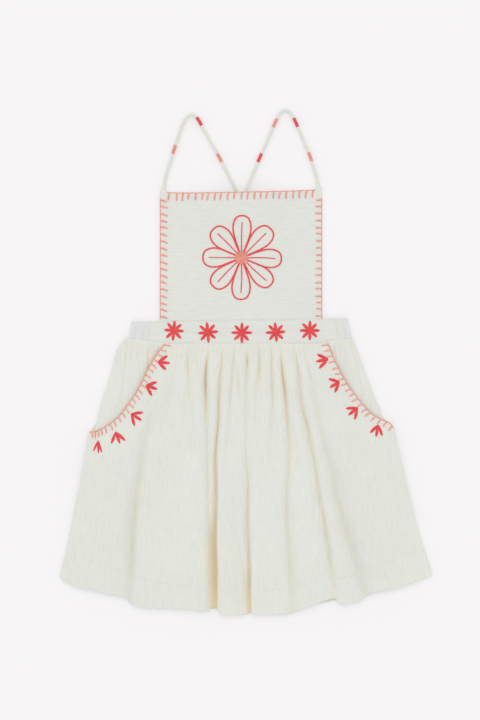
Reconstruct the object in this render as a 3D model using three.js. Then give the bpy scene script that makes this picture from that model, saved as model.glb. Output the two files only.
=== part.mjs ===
// Child's pinafore dress in double gauze cotton, laid flat on a surface with its front up.
// Millimetres. X runs to the right across the front, Y from the hem towards the straps, Z up.
// X = 0 is the centre front, Y = 0 is half way from hem to bib top, Z = 0 is the surface.
import * as THREE from "three";

// Cloth
const GAUZE = 1.2;
const DOUBLED = 2.0;
const SEAM_GAP = 0.3;
const MOST_SLANT = 1.7; // a steep fold's wall, measured upright, is at most this many times its thickness

// Levels of the layers that lie on each other
const BACK_TOP = GAUZE;
const POCKET_UNDER = BACK_TOP + SEAM_GAP;
const FRONT_UNDER = POCKET_UNDER;
const FRONT_OVER_POCKET = POCKET_UNDER + GAUZE + 2 * SEAM_GAP;
const BAND_BACK_TOP = 1.5;
const BAND_FRONT_UNDER = BAND_BACK_TOP + SEAM_GAP;

// Waistband: its ends at the top edge, how far they spread at the lower edge, where the elastic stops
const BAND_LEFT = -136.9;
const BAND_RIGHT = 133.3;
const BAND_LEFT_SPREAD = 3.7;
const BAND_RIGHT_SPREAD = 5.7;
const BAND_TOP_Y = 102.8;
const BAND_TILT = 0.016;
const BAND_BOTTOM_Y = 72.5;
const BAND_END_RISE = 7;
const BAND_COLUMNS = 40;
const ELASTIC_LEFT = -114;
const ELASTIC_RIGHT = 117.5;
const ELASTIC_TOP = 4.0;
const ELASTIC_INNER = 2.3;
const RIB_PITCH = 2.3;
const RIB_HEIGHT = 0.6;
const RIB_STEPS = 3;
const BAND_END_STEPS = 6;
const BAND_RINGS = 3;
const BAND_FRONT_COLUMNS = 38;
const BAND_FRONT_ROWS = 5;
const BAND_STRAIGHT = 90; // out from the middle, where the lower edge begins to rise
const BAND_RISE_REACH = 50;

// Bib
const BIB_HALF_WIDTH = 101.3;
const BIB_TOP_Y = 264;
const BIB_TOP_DIP = 2;
const BIB_TOP_TILT = 0.018;
const BIB_COLUMNS = 26;
const BIB_ROWS = 18;
const BIB_CORNER_LOFT = 2.2; // the strap's end lies inside each top corner and fills it out
const BIB_CORNER_REACH = 16;
const BIB_FOOT_REACH = 12; // how far above the band the bib comes down to the surface

// Straps: round cords from the bib's top corners, over in a loop, crossing behind the bib, down to the
// back band
const STRAP_RADIUS = 2.1;
const STRAP_SIDES = 10;
const STRAP_STEPS = 40;
const STRAP_REST = STRAP_RADIUS + 0.1;
const STRAP_OVER = STRAP_REST + 2 * STRAP_RADIUS + 0.35;
const CROSSING = [0.4, 252.1];
const CROSSING_FLAT = 9; // half the length of the upper strap that stays level above the lower one
const CROSSING_SLOPE = 42; // how far away it has come down again
const STRAP_ROUTES = {
  left: [
    [-97.6, 262.8], [-93.8, 282.5], [-88.8, 298.8], [-83.8, 315], [-78.4, 331.3], [-72.9, 346.3],
    [-68.2, 355.2], [-62.3, 358.9], [-56.6, 356.6], [-52.2, 350.8], [-46.3, 340], [-36.9, 323.1],
    [-27.5, 306.3], [-16.3, 284.4], [-4.8, 262.1], CROSSING, [8.8, 227.5], [18.8, 190],
    [27.5, 146.3], [33.8, 115], [35.8, 104.2],
  ],
  right: [
    [97.6, 266.4], [92.5, 287.5], [86.3, 306.3], [79.4, 323.8], [71.9, 341.3], [65.6, 355],
    [61.3, 361.6], [55.3, 364.7], [49.3, 361.2], [42.5, 348.8], [33.8, 328.8], [23.8, 306.3],
    [14.4, 284.4], [4.8, 262.1], CROSSING, [-8.8, 227.5], [-20, 190], [-31.3, 146.3],
    [-41.3, 115], [-44.2, 103.1],
  ],
};

// How the bib and front band tent over the straps behind them
const TENT_FLAT = 6;
const TENT_END = 78;
const TENT_ROOM = SEAM_GAP + 0.2;
const TENT_FOOT_REACH = 26; // how far above the band's lower edge the cloth comes down to the layer below
const HIDDEN_STEPS = 110;
const HIDDEN_FROM = BIB_TOP_Y + 12; // a strap counts from here down, on its way from the loop

// Skirt front: the pocket mouths from waist to hip, the side seams from hip to hem
const MOUTH_ROWS = 9;
const SEAM_ROWS = 8;
const FRONT_COLUMNS = 90;
const FAN = 0.5; // how much closer the columns stand at the middle, below the hips, than on average
const MOUTHS = {
  left: [[-96, 72.9], [-113.4, 46.9], [-129.4, 15], [-153.5, -18.3], [-176.3, -34.3], [-189.4, -36.9]],
  right: [[108.1, 74.1], [120.3, 46.1], [137.5, 16], [163.4, -14.1], [185.6, -25.6], [190.6, -32.5]],
};
const HEM_CORNERS = { left: [-226.3, -218.8], right: [238.8, -216.3] };
const SEAM_BOWS = { left: 1.5, right: 2.8 }; // how far in a side seam lies, half way down to the hem
const HEM_MIDDLE_Y = -265;
const HEM_NOTCH = 6; // how far a valley draws the hem up
const HEM_NOTCH_ROWS = 3;
const HEM_LOFT_SHARE = 0.22; // the folds settle towards the surface over the rows next to the hem
const HEM_SETTLE_ROWS = 3;
const WAIST_LOFT = 2.2;
const BODY_LOFT = 9;
const LOFT_REACH = 50; // below the waist, where the folds reach their full height
const SIDE_REACH = 30; // in from a side, where they do
const MOUTH_GAPE = 4; // beside a mouth the folds are as high as they would be this far in from a side
const GAPE_ROWS = 2;
const WAIST_GATHERS = 22.5;
const GATHER_HEIGHT = 0.6;
const GATHER_REACH = 22;
const FOLD_FADE = 6; // how far past its ends a fold dies away
const POCKET_PLATEAU = { side: 52, sideBlend: 14, foot: -105, footBlend: 16 };

// Valleys between the folds of the skirt front, each from the waist down. The columns are X and Y of
// its floor, its depth there as a share of the loft, and its half width to the left and to the right.
const VALLEYS = [
  [[-66.3, 67, 0.5, 4, 4], [-66.3, 46, 0.7, 4, 4], [-63.8, 2, 0.35, 6, 6], [-60, -60, 0, 6, 6]],
  [[-67, 24, 0, 5, 5], [-68.8, 2, 0.3, 6, 6], [-69, -40, 0, 6, 6]],
  [[-40.6, 62, 0.4, 4, 4], [-44.4, 27, 1, 5.5, 5.5], [-43.5, -22, 0.6, 6, 6], [-41.8, -85, 0.6, 6, 6],
    [-39.5, -180, 0, 6, 5]],
  [[-23, 65, 0.5, 4, 4], [-26.5, 27, 0.6, 5, 5], [-28, -23, 0.75, 6, 5], [-31.5, -72, 0.85, 8, 4.5],
    [-30, -125, 0.95, 10, 4], [-29.4, -176, 1, 11, 4], [-29.2, -264, 1, 11, 4]],
  [[-9.4, 64, 0.5, 4, 4], [-11.9, 21, 0.5, 5, 5], [-15.6, -48, 0.3, 6, 6], [-16.3, -88, 0, 6, 6]],
  [[-6.3, 52, 0.1, 4, 4], [-3.8, 28, 0.4, 4, 4], [0, -14, 0, 5, 5]],
  [[7.9, 60, 0.6, 4, 4], [7.5, 40, 0.6, 5, 5], [6.3, 2, 0.5, 6, 6], [6.9, -79, 0.5, 6, 6],
    [8.8, -122, 0.7, 7, 5], [10.3, -185, 0.85, 9, 4.5], [13, -264, 0.95, 10, 4]],
  [[23, 67, 0.5, 4, 4], [21.3, 27, 0.45, 6, 6], [16.3, -50, 0.15, 6, 6], [14, -90, 0, 6, 6]],
  [[37.5, 69, 0.5, 4, 4], [38.8, 21, 0.6, 5, 5], [37.5, -35, 0.4, 7, 7], [36.3, -100, 0, 7, 7]],
  [[49.6, 60, 0.5, 4, 4], [51.9, 34, 0.9, 5, 5], [56.3, -4, 0.8, 6, 6], [60, -60, 0.6, 7, 7],
    [57.5, -122, 0.6, 7, 7], [58.8, -179, 0.5, 7, 12], [64, -264, 0.5, 8, 14]],
  [[67.5, 67, 0.4, 4, 4], [72.5, 27, 0.65, 6, 7], [78.8, -16, 0.8, 6, 6], [87.5, -54, 0.75, 8, 6],
    [98.8, -122, 0.8, 9, 5], [108.8, -179, 0.8, 9, 5], [118.5, -262, 0.85, 10, 5]],
  [[77.5, 66, 0.2, 4, 4], [92.5, 2, 0.4, 7, 7], [108.8, -73, 0.5, 9, 9], [135, -172, 0.5, 11, 11],
    [158, -250, 0.45, 12, 12]],
  [[-85, 48, 0, 6, 6], [-86.3, 21, 0.35, 8, 8], [-96.3, -29, 0.3, 8, 8], [-102, -60, 0, 8, 8]],
  [[-109.5, 8, 0, 7, 7], [-117.5, -41, 0.45, 9, 8], [-127.3, -110, 0.55, 12, 8], [-135, -166, 0.6, 13, 7],
    [-142.5, -262, 0.75, 14, 8]],
  [[64.5, -30, 0, 4, 4], [67.5, -60, 0.2, 5, 5], [66.3, -95, 0, 5, 5]],
  [[-11, -140, 0, 6, 6], [2.5, -210, 0.3, 6, 4], [6.3, -250, 0.2, 6, 4]],
];
const VALLEY_CURVE = 1.6; // how the sides of a valley rise: 1 is a sharp crease, 2 a round trough

// Hip pieces: the outer edge that shows, the inner edge that the front hides, the foot of the pocket bag
const POCKET_ROWS = 11;
const POCKET_COLUMNS = 14;
const POCKET_FOOT_SAG = -79; // the foot sinks half way between its corners by their height over this
const POCKET_SAG_ROWS = 2;
const HIP_LOFT = 2.2;
const HIP_FLAT = 5; // outside the mouth, where the folds of the hip piece have died away
const HIP_REACH = 12;
const HIP_EDGES = {
  left: {
    outer: [[-142.6, 79], [-154.6, 65], [-163, 33.8], [-173, 3.8], [-179.6, -22.5], [-182.5, -47.5],
      [-170, -78]],
    inner: [[-70, 72], [-72.5, 21.3], [-75, -28.8], [-88, -78]],
  },
  right: {
    outer: [[138.8, 79], [145.5, 63.8], [156.3, 33.8], [167.5, 3.8], [176, -16.3], [180.5, -45],
      [168, -78]],
    inner: [[81.3, 72], [82.5, 21], [85, -29], [98, -78]],
  },
};
const HIP_VALLEYS = {
  left: [
    [[-142, 79, 0.4, 4, 4], [-144.5, 50, 0.7, 5, 5], [-147.5, 20, 0.5, 6, 6], [-150, -8, 0, 6, 6]],
    [[-126, 79, 0.5, 4, 4], [-127.5, 58, 0.5, 4, 4], [-129, 36, 0, 4, 4]],
  ],
  right: [
    [[137, 78, 0.4, 4, 4], [143, 48, 0.6, 5, 5], [150, 18, 0.3, 6, 6], [155, -4, 0, 6, 6]],
    [[127, 78, 0.5, 4, 4], [130, 60, 0.5, 4, 4], [135, 40, 0, 4, 4]],
  ],
};

// Skirt back: a plain flat panel just inside the outline of what lies on it
const BACK_INSET = 0.8;
const BACK_HEM_RISE = 5;
const BACK_SEAM_POINTS = 4;
const BACK_HEM_POINTS = 24;
const BACK_WAIST_POINTS = 48;

// Looks
const GAUZE_COLOUR = 0xe9ebe6;
const ELASTIC_COLOUR = 0xdfe3e2;
const CORD_COLOUR = 0xe6e7e1;

// 0 below 0, 1 above 1, and a soft step between
function soft(value) {
  const t = Math.min(1, Math.max(0, value));
  return t * t * (3 - 2 * t);
}

function mix(a, b, t) {
  return a + (b - a) * t;
}

function spline(points) {
  return new THREE.SplineCurve(points.map(([x, y]) => new THREE.Vector2(x, y)));
}

// Where a valley's floor is at a given Y, how deep it is there and how wide to each side
function valleyAt(valley, y) {
  const held = Math.min(valley[0][1], Math.max(valley.at(-1)[1], y));
  const next = Math.max(1, valley.findIndex((place) => place[1] <= held));
  const above = valley[next - 1];
  const below = valley[next];
  const t = (above[1] - held) / (above[1] - below[1]);
  const [x, , depth, left, right] = above.map((value, i) => mix(value, below[i], t));
  return { x, depth: depth * (1 - soft(Math.abs(y - held) / FOLD_FADE)), left, right };
}

// Share of the loft that is left at a point once every valley has been pressed into it
function openness(valleys, x, y) {
  let share = 1;
  for (const valley of valleys) {
    const { x: floorX, depth, left, right } = valleyAt(valley, y);
    const across = Math.abs(x - floorX) / (x > floorX ? right : left);
    share *= 1 - depth * Math.exp(-(across ** VALLEY_CURVE));
  }
  return share;
}

// Gives each point of a grid its top, so that the wall keeps its thickness on a slope
function thicken(grid, thickness) {
  const rise = (a, b) => (b.under - a.under) / Math.hypot(b.x - a.x, b.y - a.y);
  grid.forEach((row, r) => {
    row.forEach((point, c) => {
      const across = rise(row[Math.max(0, c - 1)], row[Math.min(row.length - 1, c + 1)]);
      const down = rise(grid[Math.max(0, r - 1)][c], grid[Math.min(grid.length - 1, r + 1)][c]);
      const slant = Math.min(MOST_SLANT, Math.hypot(1, across, down));
      point.top = point.under + thickness * slant;
    });
  });
  return grid;
}

function geometryFrom(positions, faces) {
  const geometry = new THREE.BufferGeometry();
  geometry.setAttribute("position", new THREE.Float32BufferAttribute(positions, 3));
  geometry.setIndex(faces);
  geometry.computeVertexNormals();
  return geometry;
}

// A closed wall over a grid whose rows run down in Y and whose columns run up in X
function wall(grid) {
  const rows = grid.length;
  const columns = grid[0].length;
  const upper = (r, c) => r * columns + c;
  const lower = (r, c) => (rows + r) * columns + c;
  const positions = [];
  grid.flat().forEach((p) => positions.push(p.x, p.y, p.top));
  grid.flat().forEach((p) => positions.push(p.x, p.y, p.under));
  const faces = [];
  for (let r = 0; r < rows - 1; r += 1) {
    for (let c = 0; c < columns - 1; c += 1) {
      faces.push(upper(r, c), upper(r + 1, c), upper(r + 1, c + 1));
      faces.push(upper(r, c), upper(r + 1, c + 1), upper(r, c + 1));
      faces.push(lower(r, c), lower(r + 1, c + 1), lower(r + 1, c));
      faces.push(lower(r, c), lower(r, c + 1), lower(r + 1, c + 1));
    }
  }
  const rim = [];
  for (let r = 0; r < rows - 1; r += 1) rim.push([r, 0]);
  for (let c = 0; c < columns - 1; c += 1) rim.push([rows - 1, c]);
  for (let r = rows - 1; r > 0; r -= 1) rim.push([r, columns - 1]);
  for (let c = columns - 1; c > 0; c -= 1) rim.push([0, c]);
  rim.forEach(([r, c], i) => {
    const [nextR, nextC] = rim[(i + 1) % rim.length];
    faces.push(upper(r, c), lower(r, c), lower(nextR, nextC));
    faces.push(upper(r, c), lower(nextR, nextC), upper(nextR, nextC));
  });
  return geometryFrom(positions, faces);
}

// Waistband edges and the place of a point that is given by its X at the top edge and its share down
function bandTop(x) {
  return BAND_TOP_Y + BAND_TILT * x;
}

function bandBottom(x) {
  return BAND_BOTTOM_Y + BAND_END_RISE * soft((Math.abs(x) - BAND_STRAIGHT) / BAND_RISE_REACH);
}

function bandPlace(xAtTop, down) {
  const across = (xAtTop - BAND_LEFT) / (BAND_RIGHT - BAND_LEFT);
  const x = xAtTop + down * mix(-BAND_LEFT_SPREAD, BAND_RIGHT_SPREAD, across);
  return { x, y: mix(bandTop(x), bandBottom(x), down) };
}

// Straps
function strapCurve(side) {
  const overTheOther = side === "right";
  return new THREE.CatmullRomCurve3(
    STRAP_ROUTES[side].map(([x, y]) => {
      const distance = Math.hypot(x - CROSSING[0], y - CROSSING[1]);
      const hump = 1 - soft((distance - CROSSING_FLAT) / CROSSING_SLOPE);
      return new THREE.Vector3(x, y, overTheOther ? mix(STRAP_REST, STRAP_OVER, hump) : STRAP_REST);
    }),
  );
}

const strapCurves = { left: strapCurve("left"), right: strapCurve("right") };
const hiddenStrapPoints = Object.values(strapCurves).flatMap((curve) =>
  curve.getSpacedPoints(HIDDEN_STEPS).filter((point, i) => i > HIDDEN_STEPS / 2 && point.y < HIDDEN_FROM),
);

function strap(side) {
  const section = new THREE.Shape();
  for (let i = 0; i < STRAP_SIDES; i += 1) {
    const angle = (2 * Math.PI * i) / STRAP_SIDES;
    const place = [STRAP_RADIUS * Math.cos(angle), STRAP_RADIUS * Math.sin(angle)];
    if (i === 0) section.moveTo(...place);
    else section.lineTo(...place);
  }
  return new THREE.ExtrudeGeometry(section, {
    steps: STRAP_STEPS,
    bevelEnabled: false,
    extrudePath: strapCurves[side],
  });
}

// Height that cloth needs at a point to clear the straps behind it
function tent(x, y) {
  let height = 0;
  for (const point of hiddenStrapPoints) {
    const distance = Math.hypot(x - point.x, y - point.y);
    if (distance < TENT_END) {
      const share = 1 - soft((distance - TENT_FLAT) / (TENT_END - TENT_FLAT));
      height = Math.max(height, (point.z + STRAP_RADIUS + TENT_ROOM) * share);
    }
  }
  return height * soft((y - bandBottom(x)) / TENT_FOOT_REACH);
}

// Bib
function bibTop(x) {
  const across = x / BIB_HALF_WIDTH;
  return BIB_TOP_Y + BIB_TOP_TILT * x - BIB_TOP_DIP * (1 - across * across);
}

function bib() {
  const grid = [];
  for (let r = 0; r <= BIB_ROWS; r += 1) {
    const row = [];
    for (let c = 0; c <= BIB_COLUMNS; c += 1) {
      const x = mix(-BIB_HALF_WIDTH, BIB_HALF_WIDTH, c / BIB_COLUMNS);
      const y = mix(bibTop(x), bandTop(x) + SEAM_GAP, r / BIB_ROWS);
      const overBand = BAND_FRONT_UNDER * soft((bandTop(x) + BIB_FOOT_REACH - y) / BIB_FOOT_REACH);
      row.push({ x, y, under: Math.max(tent(x, y), overBand) });
    }
    grid.push(row);
  }
  thicken(grid, DOUBLED);
  for (const point of grid.flat()) {
    const strapX = Math.sign(point.x) * Math.abs(STRAP_ROUTES.left[0][0]);
    const distance = Math.hypot(point.x - strapX, point.y - bibTop(strapX));
    point.top += BIB_CORNER_LOFT * (1 - soft(distance / BIB_CORNER_REACH));
  }
  return wall(grid);
}

// Waistband
function waistbandFront() {
  const grid = [];
  for (let r = 0; r <= BAND_FRONT_ROWS; r += 1) {
    const row = [];
    for (let c = 0; c <= BAND_FRONT_COLUMNS; c += 1) {
      const xAtTop = mix(ELASTIC_LEFT + SEAM_GAP, ELASTIC_RIGHT - SEAM_GAP, c / BAND_FRONT_COLUMNS);
      const { x, y } = bandPlace(xAtTop, r / BAND_FRONT_ROWS);
      row.push({ x, y, under: Math.max(BAND_FRONT_UNDER, tent(x, y)) });
    }
    grid.push(row);
  }
  return wall(thicken(grid, DOUBLED));
}

// Section of the back band across X and Z, as outer and inner points in pairs: ribbed on top of the
// left end, round that end, flat below, round the right end and ribbed on top of it
function bandSection() {
  const outerRadius = ELASTIC_TOP / 2;
  const innerRadius = (ELASTIC_INNER - BAND_BACK_TOP) / 2;
  const innerMiddle = BAND_BACK_TOP + innerRadius;
  const endLeft = BAND_LEFT + outerRadius;
  const endRight = BAND_RIGHT - outerRadius;
  const outer = [];
  const inner = [];
  const ribs = (from, to) => {
    const steps = Math.round(Math.abs(to - from) / RIB_PITCH) * RIB_STEPS;
    for (let i = 0; i <= steps; i += 1) {
      const x = mix(from, to, i / steps);
      outer.push([x, ELASTIC_TOP + (i % RIB_STEPS === 0 ? 0 : RIB_HEIGHT)]);
      inner.push([x, ELASTIC_INNER]);
    }
  };
  const round = (x, fromAngle) => {
    for (let i = 1; i < BAND_END_STEPS; i += 1) {
      const angle = fromAngle + (Math.PI * i) / BAND_END_STEPS;
      const place = (middle, radius) => [x + radius * Math.cos(angle), middle + radius * Math.sin(angle)];
      outer.push(place(outerRadius, outerRadius));
      inner.push(place(innerMiddle, innerRadius));
    }
  };
  ribs(ELASTIC_LEFT, endLeft);
  round(endLeft, Math.PI / 2);
  for (let i = 0; i <= BAND_COLUMNS; i += 1) {
    const x = mix(endLeft, endRight, i / BAND_COLUMNS);
    outer.push([x, 0]);
    inner.push([x, BAND_BACK_TOP]);
  }
  round(endRight, -Math.PI / 2);
  ribs(endRight, ELASTIC_RIGHT);
  return { outer, inner };
}

function waistbandBack() {
  const { outer, inner } = bandSection();
  const pairs = outer.length;
  const section = [...outer, ...inner.reverse()];
  const count = section.length;
  const positions = [];
  for (let r = 0; r <= BAND_RINGS; r += 1) {
    section.forEach(([xAtTop, z]) => {
      const { x, y } = bandPlace(xAtTop, r / BAND_RINGS);
      positions.push(x, y, z);
    });
  }
  const faces = [];
  for (let r = 0; r < BAND_RINGS; r += 1) {
    for (let i = 0; i < count; i += 1) {
      const here = r * count + i;
      const next = r * count + ((i + 1) % count);
      faces.push(here, next + count, here + count);
      faces.push(here, next, next + count);
    }
  }
  const last = BAND_RINGS * count;
  for (let i = 0; i < pairs - 1; i += 1) {
    const [a, b, c, d] = [i, i + 1, count - 2 - i, count - 1 - i];
    faces.push(a, c, b, a, d, c);
    faces.push(last + a, last + b, last + c, last + a, last + c, last + d);
  }
  return geometryFrom(positions, faces);
}

// Skirt front
const mouthCurves = { left: spline(MOUTHS.left), right: spline(MOUTHS.right) };

// How far to the right a side seam lies of a straight line, at a share of the way from hip to hem
function seamBow(side, share) {
  const inward = side === "left" ? 1 : -1;
  return inward * SEAM_BOWS[side] * 4 * share * (1 - share);
}

function frontEdge(side, row) {
  if (row <= MOUTH_ROWS) return mouthCurves[side].getPointAt(row / MOUTH_ROWS);
  const share = (row - MOUTH_ROWS) / SEAM_ROWS;
  const [hipX, hipY] = MOUTHS[side].at(-1);
  const [hemX, hemY] = HEM_CORNERS[side];
  return new THREE.Vector2(mix(hipX, hemX, share) + seamBow(side, share), mix(hipY, hemY, share));
}

function frontBase(x, y) {
  const { side, sideBlend, foot, footBlend } = POCKET_PLATEAU;
  const overBag = soft((Math.abs(x) - side) / sideBlend) * soft((y - foot) / footBlend);
  return mix(FRONT_UNDER, FRONT_OVER_POCKET, overBag);
}

function frontLoft(y, sideDistance, besideMouth) {
  const down = bandBottom(0) - y;
  const full = mix(WAIST_LOFT, BODY_LOFT, soft(down / LOFT_REACH));
  const gape = MOUTH_GAPE * besideMouth;
  return full * soft((sideDistance + gape) / (SIDE_REACH + gape));
}

function skirtFront() {
  const rows = MOUTH_ROWS + SEAM_ROWS;
  const grid = [];
  for (let r = 0; r <= rows; r += 1) {
    const left = frontEdge("left", r);
    const right = frontEdge("right", r);
    const middleY = mix(bandBottom(0), HEM_MIDDLE_Y, r / rows);
    const sag = (left.y + right.y) / 2 - middleY;
    const besideMouth = 1 - soft((r - MOUTH_ROWS) / GAPE_ROWS + 1);
    const settled = mix(HEM_LOFT_SHARE, 1, soft((rows - r) / HEM_SETTLE_ROWS));
    const row = [];
    for (let c = 0; c <= FRONT_COLUMNS; c += 1) {
      const even = (2 * c) / FRONT_COLUMNS - 1;
      const s = (1 + even * mix(1, mix(FAN, 1, even * even), soft(r / MOUTH_ROWS))) / 2;
      const x = mix(left.x, right.x, s);
      let y = mix(left.y, right.y, s) - 4 * s * (1 - s) * sag;
      if (r === 0) y = bandBottom(x) - SEAM_GAP;
      const sideDistance = Math.min(s, 1 - s) * (right.x - left.x);
      const share = openness(VALLEYS, x, y);
      const gatherFade = 1 - soft((bandBottom(x) - y) / GATHER_REACH);
      const gather = GATHER_HEIGHT * gatherFade * (1 - Math.cos(Math.PI * WAIST_GATHERS * even));
      const loft = frontLoft(y, sideDistance, besideMouth) * settled;
      const under = frontBase(x, y) + loft * share + gather;
      const atHem = soft((r - rows) / HEM_NOTCH_ROWS + 1) * soft(sideDistance / SIDE_REACH);
      row.push({ x, y: y + HEM_NOTCH * (1 - share) * atHem, under });
    }
    grid.push(row);
  }
  return wall(thicken(grid, GAUZE));
}

// Hip pieces
function mouthX(side, y) {
  const points = MOUTHS[side];
  const next = Math.max(1, points.findIndex((point) => point[1] <= y));
  const [x0, y0] = points[next - 1];
  const [x1, y1] = points[next];
  return mix(x0, x1, Math.min(1, Math.max(0, (y0 - y) / (y0 - y1))));
}

function pocketBack(side) {
  const outer = spline(HIP_EDGES[side].outer);
  const inner = spline(HIP_EDGES[side].inner);
  const sign = side === "left" ? -1 : 1;
  const grid = [];
  for (let r = 0; r <= POCKET_ROWS; r += 1) {
    const edge = outer.getPointAt(r / POCKET_ROWS);
    const hidden = inner.getPointAt(r / POCKET_ROWS);
    const row = [];
    for (let c = 0; c <= POCKET_COLUMNS; c += 1) {
      const s = c / POCKET_COLUMNS;
      const x = mix(edge.x, hidden.x, s);
      const atFoot = soft((r - POCKET_ROWS) / POCKET_SAG_ROWS + 1);
      let y = mix(edge.y, hidden.y, s) - 4 * s * (1 - s) * (edge.y - POCKET_FOOT_SAG) * atFoot;
      if (r === 0) y = bandBottom(x) - SEAM_GAP;
      const shows = soft((sign * (x - mouthX(side, y)) - HIP_FLAT) / HIP_REACH);
      const fromEdge = soft((sign * (edge.x - x)) / HIP_REACH);
      const loft = HIP_LOFT * shows * fromEdge * openness(HIP_VALLEYS[side], x, y);
      row.push({ x, y, under: POCKET_UNDER + loft });
    }
    if (side === "right") row.reverse();
    grid.push(row);
  }
  return wall(thicken(grid, GAUZE));
}

// Skirt back
function skirtBack() {
  const points = [];
  const outlineOf = (side) => {
    const sign = side === "left" ? 1 : -1;
    const hip = HIP_EDGES[side].outer.slice(0, -2);
    const [cornerX, cornerY] = MOUTHS[side].at(-1);
    const [hemX, hemY] = HEM_CORNERS[side];
    const seam = [];
    for (let i = 0; i <= BACK_SEAM_POINTS; i += 1) {
      const share = i / BACK_SEAM_POINTS;
      const x = mix(cornerX, hemX, share) + seamBow(side, share);
      seam.push([x, mix(cornerY, hemY + BACK_HEM_RISE, share)]);
    }
    return [...hip, ...seam].map(([x, y]) => [x + sign * BACK_INSET, y]);
  };
  const leftSide = outlineOf("left");
  const rightSide = outlineOf("right");
  leftSide[0][1] = bandBottom(leftSide[0][0]) - SEAM_GAP;
  rightSide[0][1] = bandBottom(rightSide[0][0]) - SEAM_GAP;
  points.push(...leftSide);
  const [leftX, leftY] = leftSide.at(-1);
  const [rightX, rightY] = rightSide.at(-1);
  const sag = (leftY + rightY) / 2 - (HEM_MIDDLE_Y + BACK_HEM_RISE);
  for (let i = 1; i < BACK_HEM_POINTS; i += 1) {
    const s = i / BACK_HEM_POINTS;
    points.push([mix(leftX, rightX, s), mix(leftY, rightY, s) - 4 * s * (1 - s) * sag]);
  }
  points.push(...rightSide.reverse());
  for (let i = 1; i < BACK_WAIST_POINTS; i += 1) {
    const x = mix(rightSide.at(-1)[0], leftSide[0][0], i / BACK_WAIST_POINTS);
    points.push([x, bandBottom(x) - SEAM_GAP]);
  }
  const outline = new THREE.Shape(points.map(([x, y]) => new THREE.Vector2(x, y)));
  return new THREE.ExtrudeGeometry(outline, { depth: GAUZE, bevelEnabled: false });
}

function cloth(colour) {
  return new THREE.MeshStandardMaterial({ color: colour, roughness: 0.95, metalness: 0 });
}

const group = new THREE.Group();

function add(name, geometry, colour) {
  const mesh = new THREE.Mesh(geometry, cloth(colour));
  mesh.name = name;
  group.add(mesh);
}

add("skirt_back", skirtBack(), GAUZE_COLOUR);
add("pocket_back_left", pocketBack("left"), GAUZE_COLOUR);
add("pocket_back_right", pocketBack("right"), GAUZE_COLOUR);
add("skirt_front", skirtFront(), GAUZE_COLOUR);
add("waistband_back", waistbandBack(), ELASTIC_COLOUR);
add("waistband_front", waistbandFront(), GAUZE_COLOUR);
add("bib", bib(), GAUZE_COLOUR);
add("strap_left", strap("left"), CORD_COLOUR);
add("strap_right", strap("right"), CORD_COLOUR);

export default group;
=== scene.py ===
import math

import bpy
import numpy as np
from mathutils.bvhtree import BVHTree
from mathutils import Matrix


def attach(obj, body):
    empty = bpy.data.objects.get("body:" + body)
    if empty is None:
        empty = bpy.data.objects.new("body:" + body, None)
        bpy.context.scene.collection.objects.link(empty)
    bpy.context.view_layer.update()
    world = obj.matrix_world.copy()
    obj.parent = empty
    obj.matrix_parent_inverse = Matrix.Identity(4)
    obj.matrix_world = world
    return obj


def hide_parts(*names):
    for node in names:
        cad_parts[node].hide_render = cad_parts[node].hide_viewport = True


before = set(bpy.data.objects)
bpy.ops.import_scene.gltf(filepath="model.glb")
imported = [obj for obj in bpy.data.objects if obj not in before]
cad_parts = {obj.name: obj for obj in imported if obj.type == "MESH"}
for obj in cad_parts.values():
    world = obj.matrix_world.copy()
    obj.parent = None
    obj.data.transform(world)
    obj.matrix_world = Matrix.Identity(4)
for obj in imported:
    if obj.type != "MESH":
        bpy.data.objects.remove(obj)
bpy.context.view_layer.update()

bl_info = {
    "name": "Pinafore dress",
    "version": (1, 0, 0),
    "blender": (4, 5, 0),
    "location": "View3D > Sidebar > Dress",
    "description": "A child's embroidered pinafore dress in double gauze, laid flat",
    "category": "Add Mesh",
}

# Sizes below are in millimetres, in the part's own frame, and meshes are made in metres.
MM = 0.001

# Layers
GAUZE = 1.2
SHELL = 0.8
DOUBLED = 2.0
SEAM_GAP = 0.3
TUCK = 0.6  # how far an edge is taken in under the piece that holds it
POCKET_UNDER = GAUZE + SEAM_GAP
FRONT_UNDER = POCKET_UNDER
FRONT_OVER_POCKET = POCKET_UNDER + GAUZE + 2 * SEAM_GAP
BAND_BACK_TOP = 1.5
BAND_FRONT_UNDER = BAND_BACK_TOP + SEAM_GAP
CLOTH_ROUND = 0.5
BACK_ROUND = 0.6
BIB_ROUND = 1.4
MOST_SLANT = 1.7  # most that the upright thickness grows by on a slope

# Waistband
BAND_LEFT = -136.9
BAND_RIGHT = 133.3
BAND_LEFT_SPREAD = 3.7
BAND_RIGHT_SPREAD = 5.7
BAND_TOP_Y = 102.8
BAND_TILT = 0.016
BAND_BOTTOM_Y = 72.5
BAND_END_RISE = 7
BAND_STRAIGHT = 90  # out from the middle, where the lower edge begins to rise
BAND_RISE_REACH = 50
ELASTIC_LEFT = -114
ELASTIC_RIGHT = 117.5
ELASTIC_TOP = 4.0
ELASTIC_INNER = 2.3
RIB_PITCH = 2.3
RIB_HEIGHT = 0.6

# Bib
BIB_HALF_WIDTH = 101.3
BIB_TOP_Y = 264
BIB_TOP_DIP = 2
BIB_TOP_TILT = 0.018
BIB_CORNER_LOFT = 2.2
BIB_CORNER_REACH = 16
BIB_FOOT_REACH = 12  # how far above the band the bib comes down to the layer below
CORNER_RISE = 4.5
CORNER_PLACE = 97.2
CORNER_REACH = 8
QUILT = {"puff": 0.45, "reach": 9, "groove": 0.25, "groove_at": 9.5, "groove_width": 2.2}

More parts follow.
